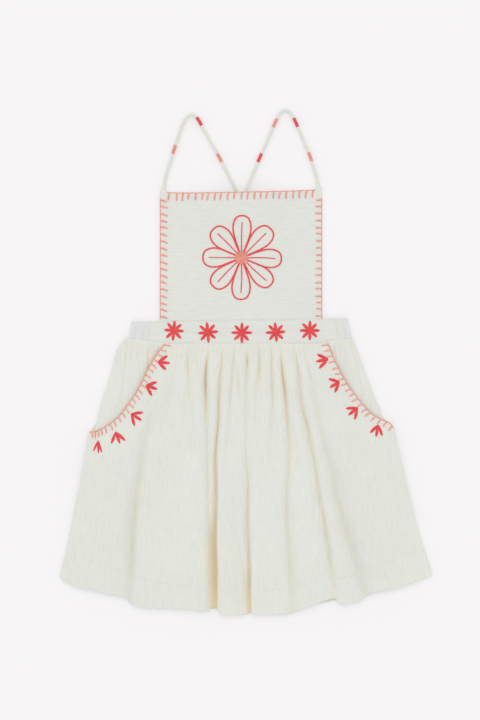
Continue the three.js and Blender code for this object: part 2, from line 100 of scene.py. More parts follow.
# Straps
STRAP_RADIUS = 2.1
STRAP_REST = STRAP_RADIUS + 0.1
STRAP_OVER = STRAP_REST + 2 * STRAP_RADIUS + 0.35
CROSSING = (0.4, 252.1)
CROSSING_FLAT = 9
CROSSING_SLOPE = 42
STRAP_ROUTES = {
    "left": [
        (-97.6, 262.8), (-93.8, 282.5), (-88.8, 298.8), (-83.8, 315), (-78.4, 331.3), (-72.9, 346.3),
        (-68.2, 355.2), (-62.3, 358.9), (-56.6, 356.6), (-52.2, 350.8), (-46.3, 340), (-36.9, 323.1),
        (-27.5, 306.3), (-16.3, 284.4), (-4.8, 262.1), CROSSING, (8.8, 227.5), (18.8, 190),
        (27.5, 146.3), (33.8, 115), (35.8, 104.2),
    ],
    "right": [
        (97.6, 266.4), (92.5, 287.5), (86.3, 306.3), (79.4, 323.8), (71.9, 341.3), (65.6, 355),
        (61.3, 361.6), (55.3, 364.7), (49.3, 361.2), (42.5, 348.8), (33.8, 328.8), (23.8, 306.3),
        (14.4, 284.4), (4.8, 262.1), CROSSING, (-8.8, 227.5), (-20, 190), (-31.3, 146.3),
        (-41.3, 115), (-44.2, 103.1),
    ],
}

# The cloth's rise over the straps behind it, and the points of a strap that lift it
TENT_FLAT = 6
TENT_END = 78
TENT_ROOM = SEAM_GAP + 0.2
TENT_FOOT_REACH = 26
HIDDEN_STEPS = 110
HIDDEN_FROM = BIB_TOP_Y + 12

# Skirt
MOUTH_ROWS = 9
SEAM_ROWS = 8
FRONT_ROWS = MOUTH_ROWS + SEAM_ROWS
FAN = 0.5  # spacing of the columns in the middle, as a share of that at the sides
MOUTHS = {
    "left": [(-96, 72.9), (-113.4, 46.9), (-129.4, 15), (-153.5, -18.3), (-176.3, -34.3),
             (-189.4, -36.9)],
    "right": [(108.1, 74.1), (120.3, 46.1), (137.5, 16), (163.4, -14.1), (185.6, -25.6), (190.6, -32.5)],
}
HEM_CORNERS = {"left": (-226.3, -218.8), "right": (238.8, -216.3)}
SEAM_BOWS = {"left": 1.5, "right": 2.8}
HEM_MIDDLE_Y = -265
HEM_LINE = [
    (-226.3, -218.8), (-223, -222.5), (-211, -229.6), (-165.6, -239.5), (-143.8, -244), (-139, -250.5),
    (-133, -254.6), (-120, -256.9), (-62.6, -259.1), (-46, -261.4), (-40.6, -261.6), (-38.5, -257),
    (-30.5, -257), (-28.5, -260), (-24, -265.6), (-18, -266.4), (9, -264.8), (12.8, -261), (16.5, -265.4),
    (57, -265), (84, -255.4), (112, -245.6), (118, -245), (122.5, -251.6), (128, -253.2), (147.5, -248.6),
    (159.6, -239.5), (199, -231.1), (238.8, -216.3),
]
HEM_REACH = 0.14  # share of the length over which the rows bend to the hem's own line
HEM_DEPTH = 30
HEM_GROOVE = 0.4
HEM_GROOVE_WIDTH = 1.6
HEM_DOUBLED = 0.35  # how much thicker the turned up cloth is
SKIRT_LENGTH = 340
SKIRT_HALF_FLAT = 260  # half the front's width with its folds let out
BACK_WIDTH = 460
WAIST_BLEND = 0.05  # share of the length over which the rows bend to the band's lower edge
WAIST_LOFT = 2.2
BODY_LOFT = 9
LOFT_REACH = 50
GATHER_LOFT = 1.3
GATHER_REACH = 90
SIDE_REACH = 30
MOUTH_GAPE = 4  # beside a mouth the folds are as high as they would be this far in from a side
HEM_LOFT_SHARE = 0.22
HEM_SETTLE_ROWS = 3
WAIST_RISE = 1.0
WAIST_RISE_REACH = 14
SILHOUETTE = [(-265, 245), (-218, 232.5), (-35, 188), (79, 139.6)]  # Y, and half the skirt's width there
POCKET_PLATEAU = {"side": 20, "side_blend": 44, "foot": -190, "foot_blend": 104}

# Crinkles of the cloth in layers: share, distance across, length along and seed
FRONT_CREPE = [(1, 7.5, 70, 3), (0.7, 3.4, 34, 4)]
HIP_CREPE = [(1, 6, 50, 41), (0.8, 2.8, 26, 42)]
BIB_CREPE = [(1, 5.5, 38, 21), (0.6, 2.6, 20, 22)]
BAND_CREPE = [(1, 5, 40, 61)]
BAND_CROSS_CREPE = [(0.7, 7, 30, 62)]
FRONT_CREPE_HEIGHT = 0.38
DOUBLED_CREPE_HEIGHT = 0.16

# Creases of the skirt front, each from the waist down. Columns: x, y, depth as a share of the loft,
# half width to the left and to the right, strength of the painted warm shade, its width as a share
CREASES = [
    [(-66.3, 67, 0.5, 3.5, 3.5, 0.25, 0.4), (-66.3, 46, 0.7, 4, 4, 0.42, 0.4),
     (-65.5, 27, 0.5, 5, 5, 0.2, 0.4), (-63.8, 2, 0.35, 6, 6, 0.15, 0.4), (-61, -23, 0.25, 6, 6, 0.1, 0.4),
     (-60, -60, 0, 6, 6, 0, 0.4)],
    [(-67, 24, 0, 5, 5, 0, 0.4), (-68.8, 2, 0.3, 6, 6, 0.13, 0.4), (-69, -40, 0, 6, 6, 0, 0.4)],
    [(-40.6, 62, 0.4, 3.5, 3.5, 0.2, 0.4), (-43, 50, 0.9, 4.5, 4.5, 0.85, 0.36),
     (-44.4, 27, 1, 5.5, 5.5, 1.2, 0.36), (-43.8, 6, 0.9, 6, 6, 0.75, 0.32),
     (-43.5, -22, 0.6, 6, 6, 0.28, 0.32), (-42, -54, 0.6, 6, 6, 0.28, 0.32),
     (-41.8, -85, 0.6, 6, 6, 0.38, 0.36), (-41, -115, 0.4, 6, 5, 0.38, 0.4),
     (-40, -150, 0.2, 6, 5, 0.3, 0.5), (-39.5, -200, 0, 6, 5, 0.2, 0.5), (-40, -262, 0, 6, 5, 0.1, 0.5)],
    [(-23, 65, 0.5, 4, 4, 0.3, 0.36), (-24.4, 46, 0.6, 5, 5, 0.48, 0.3), (-26.5, 27, 0.6, 5, 5, 0.45, 0.3),
     (-27.5, 3, 0.7, 6, 5, 0.55, 0.3), (-28, -23, 0.75, 6, 4, 0.7, 0.32),
     (-30.5, -54, 0.8, 7, 3.5, 0.72, 0.42), (-31.5, -72, 0.85, 8, 3, 0.75, 0.42),
     (-30.5, -98, 0.9, 9, 2.6, 0.56, 0.5), (-30.4, -125, 0.95, 10, 2.2, 0.44, 0.6),
     (-31.2, -150, 1, 11, 2.4, 0.62, 0.75), (-31.8, -176, 1, 15, 2.6, 0.84, 0.85),
     (-30.6, -214, 1, 15, 2.4, 0.94, 0.88), (-30.4, -264, 1, 14, 2.4, 0.96, 0.88)],
    [(-9.4, 64, 0.5, 4, 4, 0.28, 0.36), (-10.6, 40, 0.6, 5, 5, 0.34, 0.34),
     (-11.9, 21, 0.5, 5, 5, 0.32, 0.36), (-14.4, -10, 0.4, 6, 6, 0.2, 0.36),
     (-15.6, -48, 0.3, 6, 6, 0.12, 0.4), (-16.3, -88, 0, 6, 6, 0, 0.4)],
    [(-6.3, 52, 0.1, 4, 4, 0.05, 0.36), (-3.8, 28, 0.4, 4, 4, 0.3, 0.32), (-1.3, 9, 0.3, 5, 5, 0.15, 0.36),
     (0, -14, 0, 5, 5, 0, 0.4)],
    [(7.9, 60, 0.6, 4, 4, 0.3, 0.4), (7.9, 51, 0.9, 4, 4, 0.95, 0.4), (7.5, 40, 0.6, 5, 5, 0.3, 0.34),
     (6.3, 2, 0.5, 6, 6, 0.2, 0.34), (6.3, -48, 0.45, 6, 6, 0.22, 0.34), (6.9, -79, 0.5, 6, 6, 0.3, 0.34),
     (8.8, -98, 0.6, 7, 5, 0.42, 0.32), (8.8, -122, 0.7, 7, 4, 0.45, 0.32),
     (8.6, -154, 0.8, 8, 3.5, 0.4, 0.34), (10.3, -185, 0.85, 9, 3, 0.4, 0.36),
     (11.4, -210, 0.9, 11, 2.4, 0.62, 0.5), (11.2, -235, 0.95, 13, 2.6, 0.85, 0.55),
     (12, -264, 0.95, 13, 2.6, 0.88, 0.55)],
    [(23, 67, 0.5, 4, 4, 0.3, 0.36), (22.5, 46, 0.6, 5, 5, 0.35, 0.4), (21.3, 27, 0.45, 6, 6, 0.25, 0.5),
     (18.8, 2, 0.3, 6, 6, 0.12, 0.5), (16.3, -50, 0.15, 6, 6, 0.08, 0.5), (14, -90, 0, 6, 6, 0, 0.5)],
    [(37.5, 69, 0.5, 4, 4, 0.4, 0.36), (38.1, 46, 0.65, 5, 5, 0.42, 0.36),
     (38.8, 21, 0.6, 5, 5, 0.34, 0.36), (39.4, -4, 0.5, 6, 6, 0.2, 0.36),
     (37.5, -35, 0.4, 7, 7, 0.13, 0.4), (37.5, -66, 0.25, 7, 7, 0.1, 0.4), (36.3, -100, 0, 7, 7, 0, 0.4)],
    [(49.6, 60, 0.5, 4, 4, 0.5, 0.36), (50.4, 50, 0.8, 5, 5, 0.9, 0.32), (51.9, 34, 0.9, 5, 5, 0.95, 0.34),
     (54.4, 15, 0.9, 6, 6, 0.95, 0.34), (56.3, -4, 0.8, 6, 6, 0.65, 0.36),
     (58.1, -29, 0.7, 7, 7, 0.46, 0.4), (60, -54, 0.6, 7, 7, 0.36, 0.42), (60, -73, 0.6, 7, 7, 0.34, 0.42),
     (58.1, -98, 0.6, 7, 7, 0.32, 0.42), (57.5, -122, 0.6, 7, 7, 0.34, 0.44),
     (56.9, -147, 0.5, 7, 9, 0.3, 0.5), (58.8, -179, 0.5, 7, 12, 0.18, 0.7),
     (61.3, -210, 0.5, 8, 13, 0.17, 0.7), (64, -264, 0.5, 8, 14, 0.17, 0.7)],
    [(67.5, 67, 0.4, 4, 4, 0.2, 0.36), (70, 50, 0.7, 5, 5, 0.55, 0.32), (72.5, 27, 0.65, 6, 7, 0.36, 0.5),
     (75, 2, 0.7, 7, 7, 0.36, 0.5), (78.8, -16, 0.8, 6, 6, 0.52, 0.4), (83.8, -35, 0.8, 7, 6, 0.42, 0.46),
     (87.5, -54, 0.75, 8, 6, 0.32, 0.5), (92.5, -79, 0.75, 9, 5, 0.32, 0.4),
     (95.3, -98, 0.75, 9, 5, 0.36, 0.34), (98.8, -122, 0.8, 9, 5, 0.38, 0.34),
     (103.8, -147, 0.8, 9, 5, 0.42, 0.34), (108.8, -179, 0.8, 9, 5, 0.28, 0.4),
     (112.5, -204, 0.8, 9, 5, 0.26, 0.4), (116.3, -229, 0.85, 10, 5, 0.26, 0.44),
     (118.5, -262, 0.85, 10, 5, 0.3, 0.5)],
    [(77.5, 66, 0.2, 4, 4, 0.1, 0.4), (82.5, 46, 0.3, 5, 5, 0.12, 0.4), (87.5, 27, 0.35, 6, 6, 0.13, 0.5),
     (92.5, 2, 0.4, 7, 7, 0.13, 0.5), (97.5, -29, 0.4, 8, 8, 0.14, 0.6),
     (102.5, -48, 0.45, 8, 8, 0.16, 0.6), (108.8, -73, 0.5, 9, 9, 0.16, 0.6),
     (120, -122, 0.5, 10, 10, 0.2, 0.6), (135, -172, 0.5, 11, 11, 0.18, 0.6),
     (150, -216, 0.45, 11, 11, 0.18, 0.6), (158, -250, 0.45, 12, 12, 0.16, 0.6)],
    [(-85, 48, 0, 6, 6, 0, 0.5), (-86.3, 21, 0.35, 8, 8, 0.1, 0.6), (-91.3, -4, 0.35, 8, 8, 0.1, 0.6),
     (-96.3, -29, 0.3, 8, 8, 0.08, 0.6), (-102, -60, 0, 8, 8, 0, 0.6)],
    [(-109.5, 8, 0, 7, 7, 0, 0.4), (-113.8, -16, 0.35, 8, 8, 0.17, 0.4),
     (-117.5, -41, 0.45, 9, 8, 0.18, 0.4), (-122.5, -66, 0.5, 10, 8, 0.18, 0.45),
     (-127.3, -110, 0.55, 12, 8, 0.24, 0.45), (-131.3, -141, 0.6, 13, 7, 0.24, 0.5),
     (-134, -166, 0.6, 13, 7, 0.2, 0.5), (-135.6, -198, 0.6, 14, 7, 0.18, 0.5),
     (-138, -229, 0.7, 14, 7, 0.15, 0.5), (-140, -262, 0.75, 14, 8, 0.14, 0.5)],
    [(64.5, -30, 0, 4, 4, 0, 0.5), (67.5, -60, 0.2, 5, 5, 0.12, 0.4), (66.3, -95, 0, 5, 5, 0, 0.5)],
    [(-11, -140, 0, 6, 6, 0, 0.5), (-3.8, -179, 0.25, 6, 5, 0.12, 0.5), (2.5, -210, 0.3, 6, 4, 0.16, 0.5),
     (6.3, -250, 0.2, 6, 4, 0.16, 0.5)],
    [(-16, -150, 0, 8, 8, 0, 0.5), (-8, -200, 0.15, 9, 8, 0.06, 0.5), (-3, -262, 0.15, 9, 8, 0.05, 0.5)],
    [(-8, -60, 0, 20, 18, 0, 1.2), (-8, -110, 0, 22, 18, 0.05, 1.2), (-8, -262, 0, 22, 18, 0.05, 1.2)],
]

# Soft shadows beside the broadest folds and down the middle, with the same columns and no depth
SHADES = [
    [(-104, 2, 0, 6, 5, 0.01, 1.4), (-118.8, -47, 0, 8, 5, 0.035, 1.4), (-127.5, -85, 0, 8, 5, 0.05, 1.4),
     (-132.5, -122, 0, 9, 5, 0.06, 1.4), (-135.3, -177, 0, 10, 5, 0.065, 1.4),
     (-138, -262, 0, 10, 5, 0.055, 1.4)],
    [(92, 0, 0, 5, 7, 0.01, 1.4), (103, -40, 0, 6, 9, 0.03, 1.4), (115, -85, 0, 6, 11, 0.05, 1.4),
     (121, -127, 0, 6, 13, 0.06, 1.4), (138.8, -185, 0, 7, 13, 0.06, 1.4), (154, -240, 0, 8, 13, 0.05, 1.4)],
    [(57, -100, 0, 4, 7, 0.01, 1.4), (58, -127, 0, 4, 8, 0.03, 1.4), (59.5, -177, 0, 5, 9, 0.045, 1.4),
     (62.5, -227, 0, 6, 10, 0.045, 1.4), (64, -262, 0, 6, 10, 0.03, 1.4)],
    [(-34, -140, 0, 8, 3, 0, 1.3), (-34, -176, 0, 9, 4, 0.06, 1.3), (-34, -262, 0, 9, 4, 0.08, 1.3)],
    [(9, -195, 0, 5, 4, 0, 1.3), (9, -230, 0, 6, 4, 0.05, 1.3), (10, -262, 0, 6, 4, 0.05, 1.3)],
    [(-8, -60, 0, 22, 20, 0, 1.3), (-8, -110, 0, 24, 22, 0.012, 1.3), (-8, -262, 0, 24, 22, 0.012, 1.3)],
]
SIDE_SHADE = 0.015
CREASE_FADE = 5  # how far past its ends a crease dies away
CREASE_NARROW = 0.78
CREASE_POWER = 1.6  # how the sides of a crease rise: 1 is sharp, 2 a round trough
CREASE_SHADE_PARTS = [(0.86, 0.6), (0.14, 1.6)]  # share of the painted crease shade, and its width as a share of that shade's own
WAIST_STRIP = 9  # over this length below the band the folds rise and their painted shade comes in
SMALL_GATHERS = (-96, 104, 3.45, 90, 11)  # start, end, spacing, longest and seed
WARM_SHADE = (0.01, 0.035)  # least share of the painted warm shade, everywhere, and what the gathers at the waist add to it

# Hip pieces
POCKET_FOOT_Y = -85
POCKET_ROWS = 11
POCKET_FOOT_SAG = 6
POCKET_SAG_ROWS = 2
HIP_LOFT = 1.4
HIP_FLAT = 2  # outside the mouth, where the folds of the hip piece have died away
HIP_REACH = 18
HIP_WAIST_BLEND = 0.06
HIP_GATHERS = (3.2, 40, 12)  # spacing, longest and seed
HIP_GATHER_LOFT = 0.9
HIP_GATHER_REACH = 60
HIP_CREPE_HEIGHT = (0.2, 0.5)  # everywhere, and what is added near the waist
MOUTH_SHADOW = (2.8, 1.3)  # how far the painted shadow behind a mouth reaches, and how it fades
HIP_EDGES = {
    "left": {
        "outer": [(-142.6, 79), (-154.6, 65), (-163, 33.8), (-173, 3.8), (-179.6, -22.5),
                  (-182.5, -47.5), (-170, -78)],
        "inner": [(-70, 72), (-72.5, 21.3), (-75, -28.8), (-88, -78)],
    },
    "right": {
        "outer": [(138.8, 79), (145.5, 63.8), (156.3, 33.8), (167.5, 3.8), (176, -16.3),
                  (180.5, -45), (168, -78)],
        "inner": [(81.3, 72), (82.5, 21), (85, -29), (98, -78)],
    },
}
# Creases of the hip pieces, in the same columns as the skirt front's, with their painted warm shade
HIP_CREASES = {
    "left": [
        [(-142, 79, 0.4, 3, 3, 0.2, 0.5), (-144.5, 50, 0.7, 5, 5, 0.2, 0.4),
         (-147.5, 20, 0.5, 6, 6, 0.12, 0.4), (-150, -8, 0, 6, 6, 0, 0.4)],
        [(-126, 79, 0.5, 3, 3, 0.16, 0.5), (-127.5, 58, 0.5, 4, 4, 0.1, 0.4), (-129, 36, 0, 4, 4, 0, 0.4)],
        [(-134, 79, 0.4, 3, 3, 0.1, 0.5), (-136.5, 58, 0.4, 4, 4, 0.08, 0.4), (-139, 30, 0, 4, 4, 0, 0.4)],
        [(-115, 72, 0.3, 3, 3, 0.1, 0.5), (-115.9, 55, 0.6, 4, 4, 0.45, 0.5),
         (-116.5, 44, 0.6, 4, 4, 0.5, 0.5), (-118, 34, 0, 4, 4, 0, 0.5)],
    ],
    "right": [
        [(137, 78, 0.4, 3, 3, 0.12, 0.5), (143, 48, 0.6, 5, 5, 0.14, 0.4), (150, 18, 0.3, 6, 6, 0.06, 0.4),
         (155, -4, 0, 6, 6, 0, 0.4)],
        [(127, 78, 0.5, 3, 3, 0.12, 0.5), (130, 60, 0.5, 4, 4, 0.1, 0.4), (135, 40, 0, 4, 4, 0, 0.4)],
    ],
}
# Painted warm shadow just behind each mouth: its strength high up and further down
MOUTH_SHADOW_STRENGTH = {"left": (0.5, 0.1), "right": (0.15, 0.05)}
BACK_INSET = 0.8
BACK_HEM_RISE = 5
BACK_GATHERS = (6.5, 90, 51)  # distance across, length and seed
BACK_FOLDS = (24, 400, 52)

# The photograph's frame: its scale and the place of its middle
FRAME_HEIGHT = 900
FRAME_MIDDLE = (-1.25, 52.5)
SENSOR = 36

# The soft light: how wide it seems and how it is turned, in degrees
KEY_WIDTH = 70
KEY_TURN = (-30, -10, 0)

# The surface under the dress, in metres: how far it reaches each way, and how far down it lies
FLOOR_REACH = 3.0
FLOOR_GAP = 0.0005


class DressCloth(bpy.types.PropertyGroup):
    gauze: bpy.props.FloatVectorProperty(
        name="Gauze", description="Off-white of the double gauze", subtype="COLOR",
        default=(0.768, 0.785, 0.728), min=0, max=1)
    # Colour of the painted warm shade down in the folds
    hollow: bpy.props.FloatVectorProperty(
        name="Hollow", description="Warmer tone down in the folds", subtype="COLOR",
        default=(0.785, 0.61, 0.36), min=0, max=1)
    elastic: bpy.props.FloatVectorProperty(
        name="Elastic ends", description="Cooler tone of the gathered band ends", subtype="COLOR",
        default=(0.765, 0.772, 0.768), min=0, max=1)
    weave: bpy.props.FloatProperty(
        name="Weave", description="Distance between threads of the weave", default=0.9 * MM,
        unit="LENGTH")


class DressThread(bpy.types.PropertyGroup):
    red: bpy.props.FloatVectorProperty(
        name="Red thread", description="Flowers and leaves", subtype="COLOR",
        default=(0.82, 0.083, 0.093), min=0, max=1)
    salmon: bpy.props.FloatVectorProperty(
        name="Salmon thread", description="Blanket stitch and flower centre", subtype="COLOR",
        default=(0.88, 0.38, 0.30), min=0, max=1)
    outline_width: bpy.props.FloatProperty(
        name="Outline width", description="Width of the flower's outline", default=1.8 * MM,
        unit="LENGTH")
    blanket_width: bpy.props.FloatProperty(
        name="Blanket stitch width", description="Thickness of the edging thread",
        default=1.8 * MM, unit="LENGTH")


class DressStage(bpy.types.PropertyGroup):
    camera_height: bpy.props.FloatProperty(
        name="Camera height", description="Height of the camera over the surface", default=2.5,
        unit="LENGTH")
    floor: bpy.props.FloatVectorProperty(
        name="Floor", description="Pale surface under the dress", subtype="COLOR",
        default=(0.932, 0.915, 0.923), min=0, max=1)
    glow: bpy.props.FloatProperty(
        name="Floor glow", description="Share of its brightness that the surface gives off by itself",
        default=0.3, min=0, max=1)
    sky: bpy.props.FloatProperty(name="Fill", description="Strength of the even light", default=0.90)
    key: bpy.props.FloatProperty(
        name="Key", description="Strength of the soft light from beyond the straps", default=0.36)


# Small sums
def soft(value):
    t = np.clip(value, 0, 1)
    return t * t * (3 - 2 * t)


def mix(a, b, t):
    return a + (b - a) * t


def ridge(value, middle, width):
    """A smooth bump of height 1."""
    return np.exp(-(((value - middle) / width) ** 2))


def lattice(u, v, seed):
    """Smooth noise from -1 to 1 over two coordinates, the same on each run."""
    side = 128
    table = np.random.RandomState(seed).uniform(-1, 1, (side, side))
    iu, iv = np.floor(u).astype(int), np.floor(v).astype(int)
    fu, fv = soft(u - iu), soft(v - iv)

    def at(a, b):
        return table[a % side, b % side]

    return mix(mix(at(iu, iv), at(iu + 1, iv), fu), mix(at(iu, iv + 1), at(iu + 1, iv + 1), fu), fv)


def crinkles(u, v, across, along, seed):
    """Long narrow ridges, sharp on top, with their length along v."""
    bent = u + 0.35 * across * lattice(v / along, u / (6 * across), seed + 5)
    broad = lattice(bent / across, v / along, seed)
    fine = lattice(2.3 * bent / across, 1.7 * v / along, seed + 1)
    return 0.5 - np.abs(broad) * 1.2 + 0.4 * fine


def crepe(layers, u, v):
    """Crinkles in layers: the share of each, its distance across, its length along and its seed."""
    return sum(share * crinkles(u, v, *layer) for share, *layer in layers)


def distances(path):
    """How far along a path each of its points lies."""
    return np.concatenate([[0], np.cumsum(np.linalg.norm(np.diff(path, axis=0), axis=1))])


def headings(path):
    """Unit vectors along a path."""
    way = np.gradient(path, axis=0)
    return way / np.linalg.norm(way, axis=1)[:, None]


def pick(stops, run, table):
    """Each column of a table at the given stops, where run tells the place of its rows."""
    return np.stack([np.interp(stops, run, column) for column in np.transpose(table)], -1)


def path_points(points, count):
    """Evenly spaced points on a smooth curve through the given ones."""
    p = np.array(points, float)
    p = np.vstack([2 * p[0] - p[1], p, 2 * p[-1] - p[-2]])
    fine = []
    for i in range(1, len(p) - 2):
        t = np.linspace(0, 1, 24, endpoint=i == len(p) - 3)[:, None]
        a, b, c, d = p[i - 1], p[i], p[i + 1], p[i + 2]
        fine.append(0.5 * (2 * b + (c - a) * t + (2 * a - 5 * b + 4 * c - d) * t**2
                           + (3 * b - a - 3 * c + d) * t**3))
    fine = np.vstack(fine)
    run = distances(fine)
    return pick(np.linspace(0, run[-1], count), run, fine)


def along_path(points, shares):
    """Points at the given shares of the length of a smooth curve."""
    return pick(shares, np.linspace(0, 1, 400), path_points(points, 400))


# Folds
def creased(creases, x, y):
    """Share of the loft left once every crease has been pressed in, and the painted warm shade down in them.
    """
    share, light = np.ones_like(x), np.ones_like(x)
    for crease in creases:
        smooth = path_points(crease, 160)[::-1]
        low, high = smooth[0, 1], smooth[-1, 1]
        held = np.clip(y, low, high)
        middle, depth, left, right, tone, fill = (
            np.interp(held, smooth[:, 1], smooth[:, k]) for k in (0, 2, 3, 4, 5, 6))
        past = 1 - soft(np.maximum(y - high, low - y) / CREASE_FADE)
        offset = x - middle
        out = np.abs(offset) / np.where(offset > 0, right, left)
        pressed = np.exp(-((out / CREASE_NARROW) ** CREASE_POWER))
        share = share * (1 - np.clip(depth * past, 0, 1) * pressed)
        line = sum(part * ridge(out, 0, wide * fill) for part, wide in CREASE_SHADE_PARTS)
        light = light * (1 - np.clip(tone * past, 0, 1) * line)
    return share, 1 - light


def small_gathers(start, end, spacing, longest, seed):
    """Short shallow creases that run down from the waist seam between the large ones."""
    draw = np.random.RandomState(seed)
    creases = []
    for place in np.arange(start, end, spacing):
        x = place + draw.uniform(-1.4, 1.4)
        lean = 0.16 * x / 100 + draw.uniform(-0.03, 0.03)
        length = draw.uniform(16, longest)
        top = float(band_bottom(x)) - 2.5 - draw.uniform(0, 5)
        deep = draw.uniform(0.2, 0.7)
        # Painted shade of each small crease, in step with its depth
        tone = deep * draw.uniform(0.1, 0.34)
        creases.append([(x + lean * length * k, top - length * k, deep * s, 1.4 + k, 1.4 + k, tone * s, 0.7)
                        for k, s in ((0, 1), (0.45, 0.8), (1, 0))])
    return creases


# Meshes
# The grid of each cloth: rows, then columns, with their number and how near to the edge the inner ones begin
GRIDS = {
    "bib": ((150, 0.006), (170, 0.005)),
    "skirt_front": ((90, 0.004), (510, 0.0025)),
    "skirt_back": ((150, 0.005), (180, 0.004)),
    "hip": ((90, 0.008), (80, 0.01)),
    "band_front": ((44, 0.03), (260, 0.004)),
}
BAND_BACK_ROWS = (30, 0.03)


def slanted(x, y, under, thickness):
    """Upright thickness that keeps a wall's real one on a slope."""
    def rise(axis):
        run = np.hypot(np.gradient(x, axis=axis), np.gradient(y, axis=axis))
        return np.gradient(under, axis=axis) / np.maximum(run, 1e-6)

    slope = np.sqrt(1 + rise(1) ** 2 + rise(0) ** 2)
    return thickness * np.minimum(MOST_SLANT, slope)


def edged(count, near):
    """Shares from 0 to 1 with two more close to each end, for a rounded edge."""
    inner = np.linspace(near, 1 - near, count)
    return np.concatenate([[0, near * 0.3], inner, [1 - near * 0.3, 1]])


def grid(name):
    """Shares for the rows and the columns of a cloth."""
    rows, columns = GRIDS[name]
    return edged(*rows), edged(*columns)


def rounded(x, y, top, under, radius, seam_radius=None):
    """Brings the top and the underside of a cloth together over its outermost edge, and over its
    first and last rows within seam_radius where that is given."""
    def reach(axis):
        step = np.hypot(np.diff(x, axis=axis), np.diff(y, axis=axis))
        zero = np.zeros_like(np.take(x, [0], axis=axis))
        run = np.concatenate([zero, np.cumsum(step, axis=axis)], axis=axis)
        return np.minimum(run, np.take(run, [-1], axis=axis) - run)

    rows, columns = reach(0) / (seam_radius or radius), reach(1) / radius
    edge = np.clip(np.minimum(rows, columns), 0, 1)
    keep = np.sqrt(1 - (1 - edge) ** 2)
    middle = mix(under, top, 0.45)
    return mix(middle, top, keep), mix(middle, under, keep)


def placed(name, data):
    """A new object in the scene."""
    item = bpy.data.objects.new(name, data)
    bpy.context.collection.objects.link(item)
    return item


def mesh_object(name, points, faces, uvs, **tones):
    mesh = bpy.data.meshes.new(name)
    mesh.from_pydata((np.asarray(points) * MM).tolist(), [], faces)
    layer = mesh.uv_layers.new(name="UVMap")
    corner = np.empty(len(mesh.loops), dtype=np.int32)
    mesh.loops.foreach_get("vertex_index", corner)
    layer.data.foreach_set("uv", (np.asarray(uvs)[corner] * MM).ravel())
    for tone, values in tones.items():
        mesh.attributes.new(tone, "FLOAT", "POINT").data.foreach_set("value", values)
    mesh.shade_smooth()
    mesh.update()
    return placed(name, mesh)


def grid_quads(rows, columns, offset=0):
    r, c = np.meshgrid(np.arange(rows - 1), np.arange(columns - 1), indexing="ij")
    a = offset + r * columns + c
    return np.stack([a, a + columns, a + columns + 1, a + 1], axis=-1).reshape(-1, 4)


def cloth(name, x, y, top, under, uvs, **tones):
    """A closed thin cloth over a grid whose rows run down in Y and whose columns run up in X."""
    rows, columns = x.shape
    count = rows * columns
    points = np.concatenate([
        np.stack([x, y, top], -1).reshape(-1, 3), np.stack([x, y, under], -1).reshape(-1, 3)])
    upper = grid_quads(rows, columns)
    lower = grid_quads(rows, columns, count)[:, ::-1]
    rim = ([(r, 0) for r in range(rows - 1)] + [(rows - 1, c) for c in range(columns - 1)]
           + [(r, columns - 1) for r in range(rows - 1, 0, -1)] + [(0, c) for c in range(columns - 1, 0, -1)])
    ring = np.array([r * columns + c for r, c in rim])
    after = np.roll(ring, -1)
    sides = np.stack([ring, ring + count, after + count, after], -1)
    faces = np.concatenate([upper, lower, sides]).tolist()
    uv = np.concatenate([uvs.reshape(-1, 2)] * 2)
    tones = {tone: np.tile(values.ravel(), 2) for tone, values in tones.items()}
    return mesh_object(name, points, faces, uv, **tones)


class Surface:
    """The top of a finished cloth, for laying threads on it."""
    made = {}

    def __init__(self, name, x, y, top):
        points = np.stack([x, y, top], -1).reshape(-1, 3)
        self.tree = BVHTree.FromPolygons(points.tolist(), grid_quads(*x.shape).tolist())
        self.x, self.y = x, y
        Surface.made[name] = self

    def height(self, x, y):
        hit = self.tree.ray_cast((x, y, 200), (0, 0, -1))[0]
        if hit is None:
            hit = self.tree.find_nearest((x, y, 5))[0]
        return hit.z

    def lay(self, flat, lift):
        return [(x, y, self.height(x, y) + lift) for x, y in flat]


def finish_piece(piece, material, replaces=()):
    if material is not None:
        piece.data.materials.clear()
        piece.data.materials.append(material)
    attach(piece, "root")
    if replaces:
        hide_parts(*replaces)
    return piece


# Materials and trees
def node(tree, kind, values=None, **settings):
    made = tree.nodes.new(kind)
    for key, value in settings.items():
        setattr(made, key, value)
    for key, value in (values or {}).items():
        made.inputs[key].default_value = value
    return made


def wire(tree, *links):
    """Joins nodes. Each link is a node and its output, then a node and its input."""
    for source, output, target, entry in links:
        tree.links.new(source.outputs[output], target.inputs[entry])


def new_material(name, look):
    material = bpy.data.materials.get(name) or bpy.data.materials.new(name)
    material.use_nodes = True
    tree = material.node_tree
    tree.nodes.clear()
    shader = node(tree, "ShaderNodeBsdfPrincipled", {"Specular IOR Level": 0.15, **look})
    wire(tree, (shader, 0, node(tree, "ShaderNodeOutputMaterial"), 0))
    return material, tree, shader


def noise_range(tree, low, high):
    """Stretches the middle of a noise over the given range."""
    return node(tree, "ShaderNodeMapRange",
                {"From Min": 0.3, "From Max": 0.7, "To Min": low, "To Max": high})


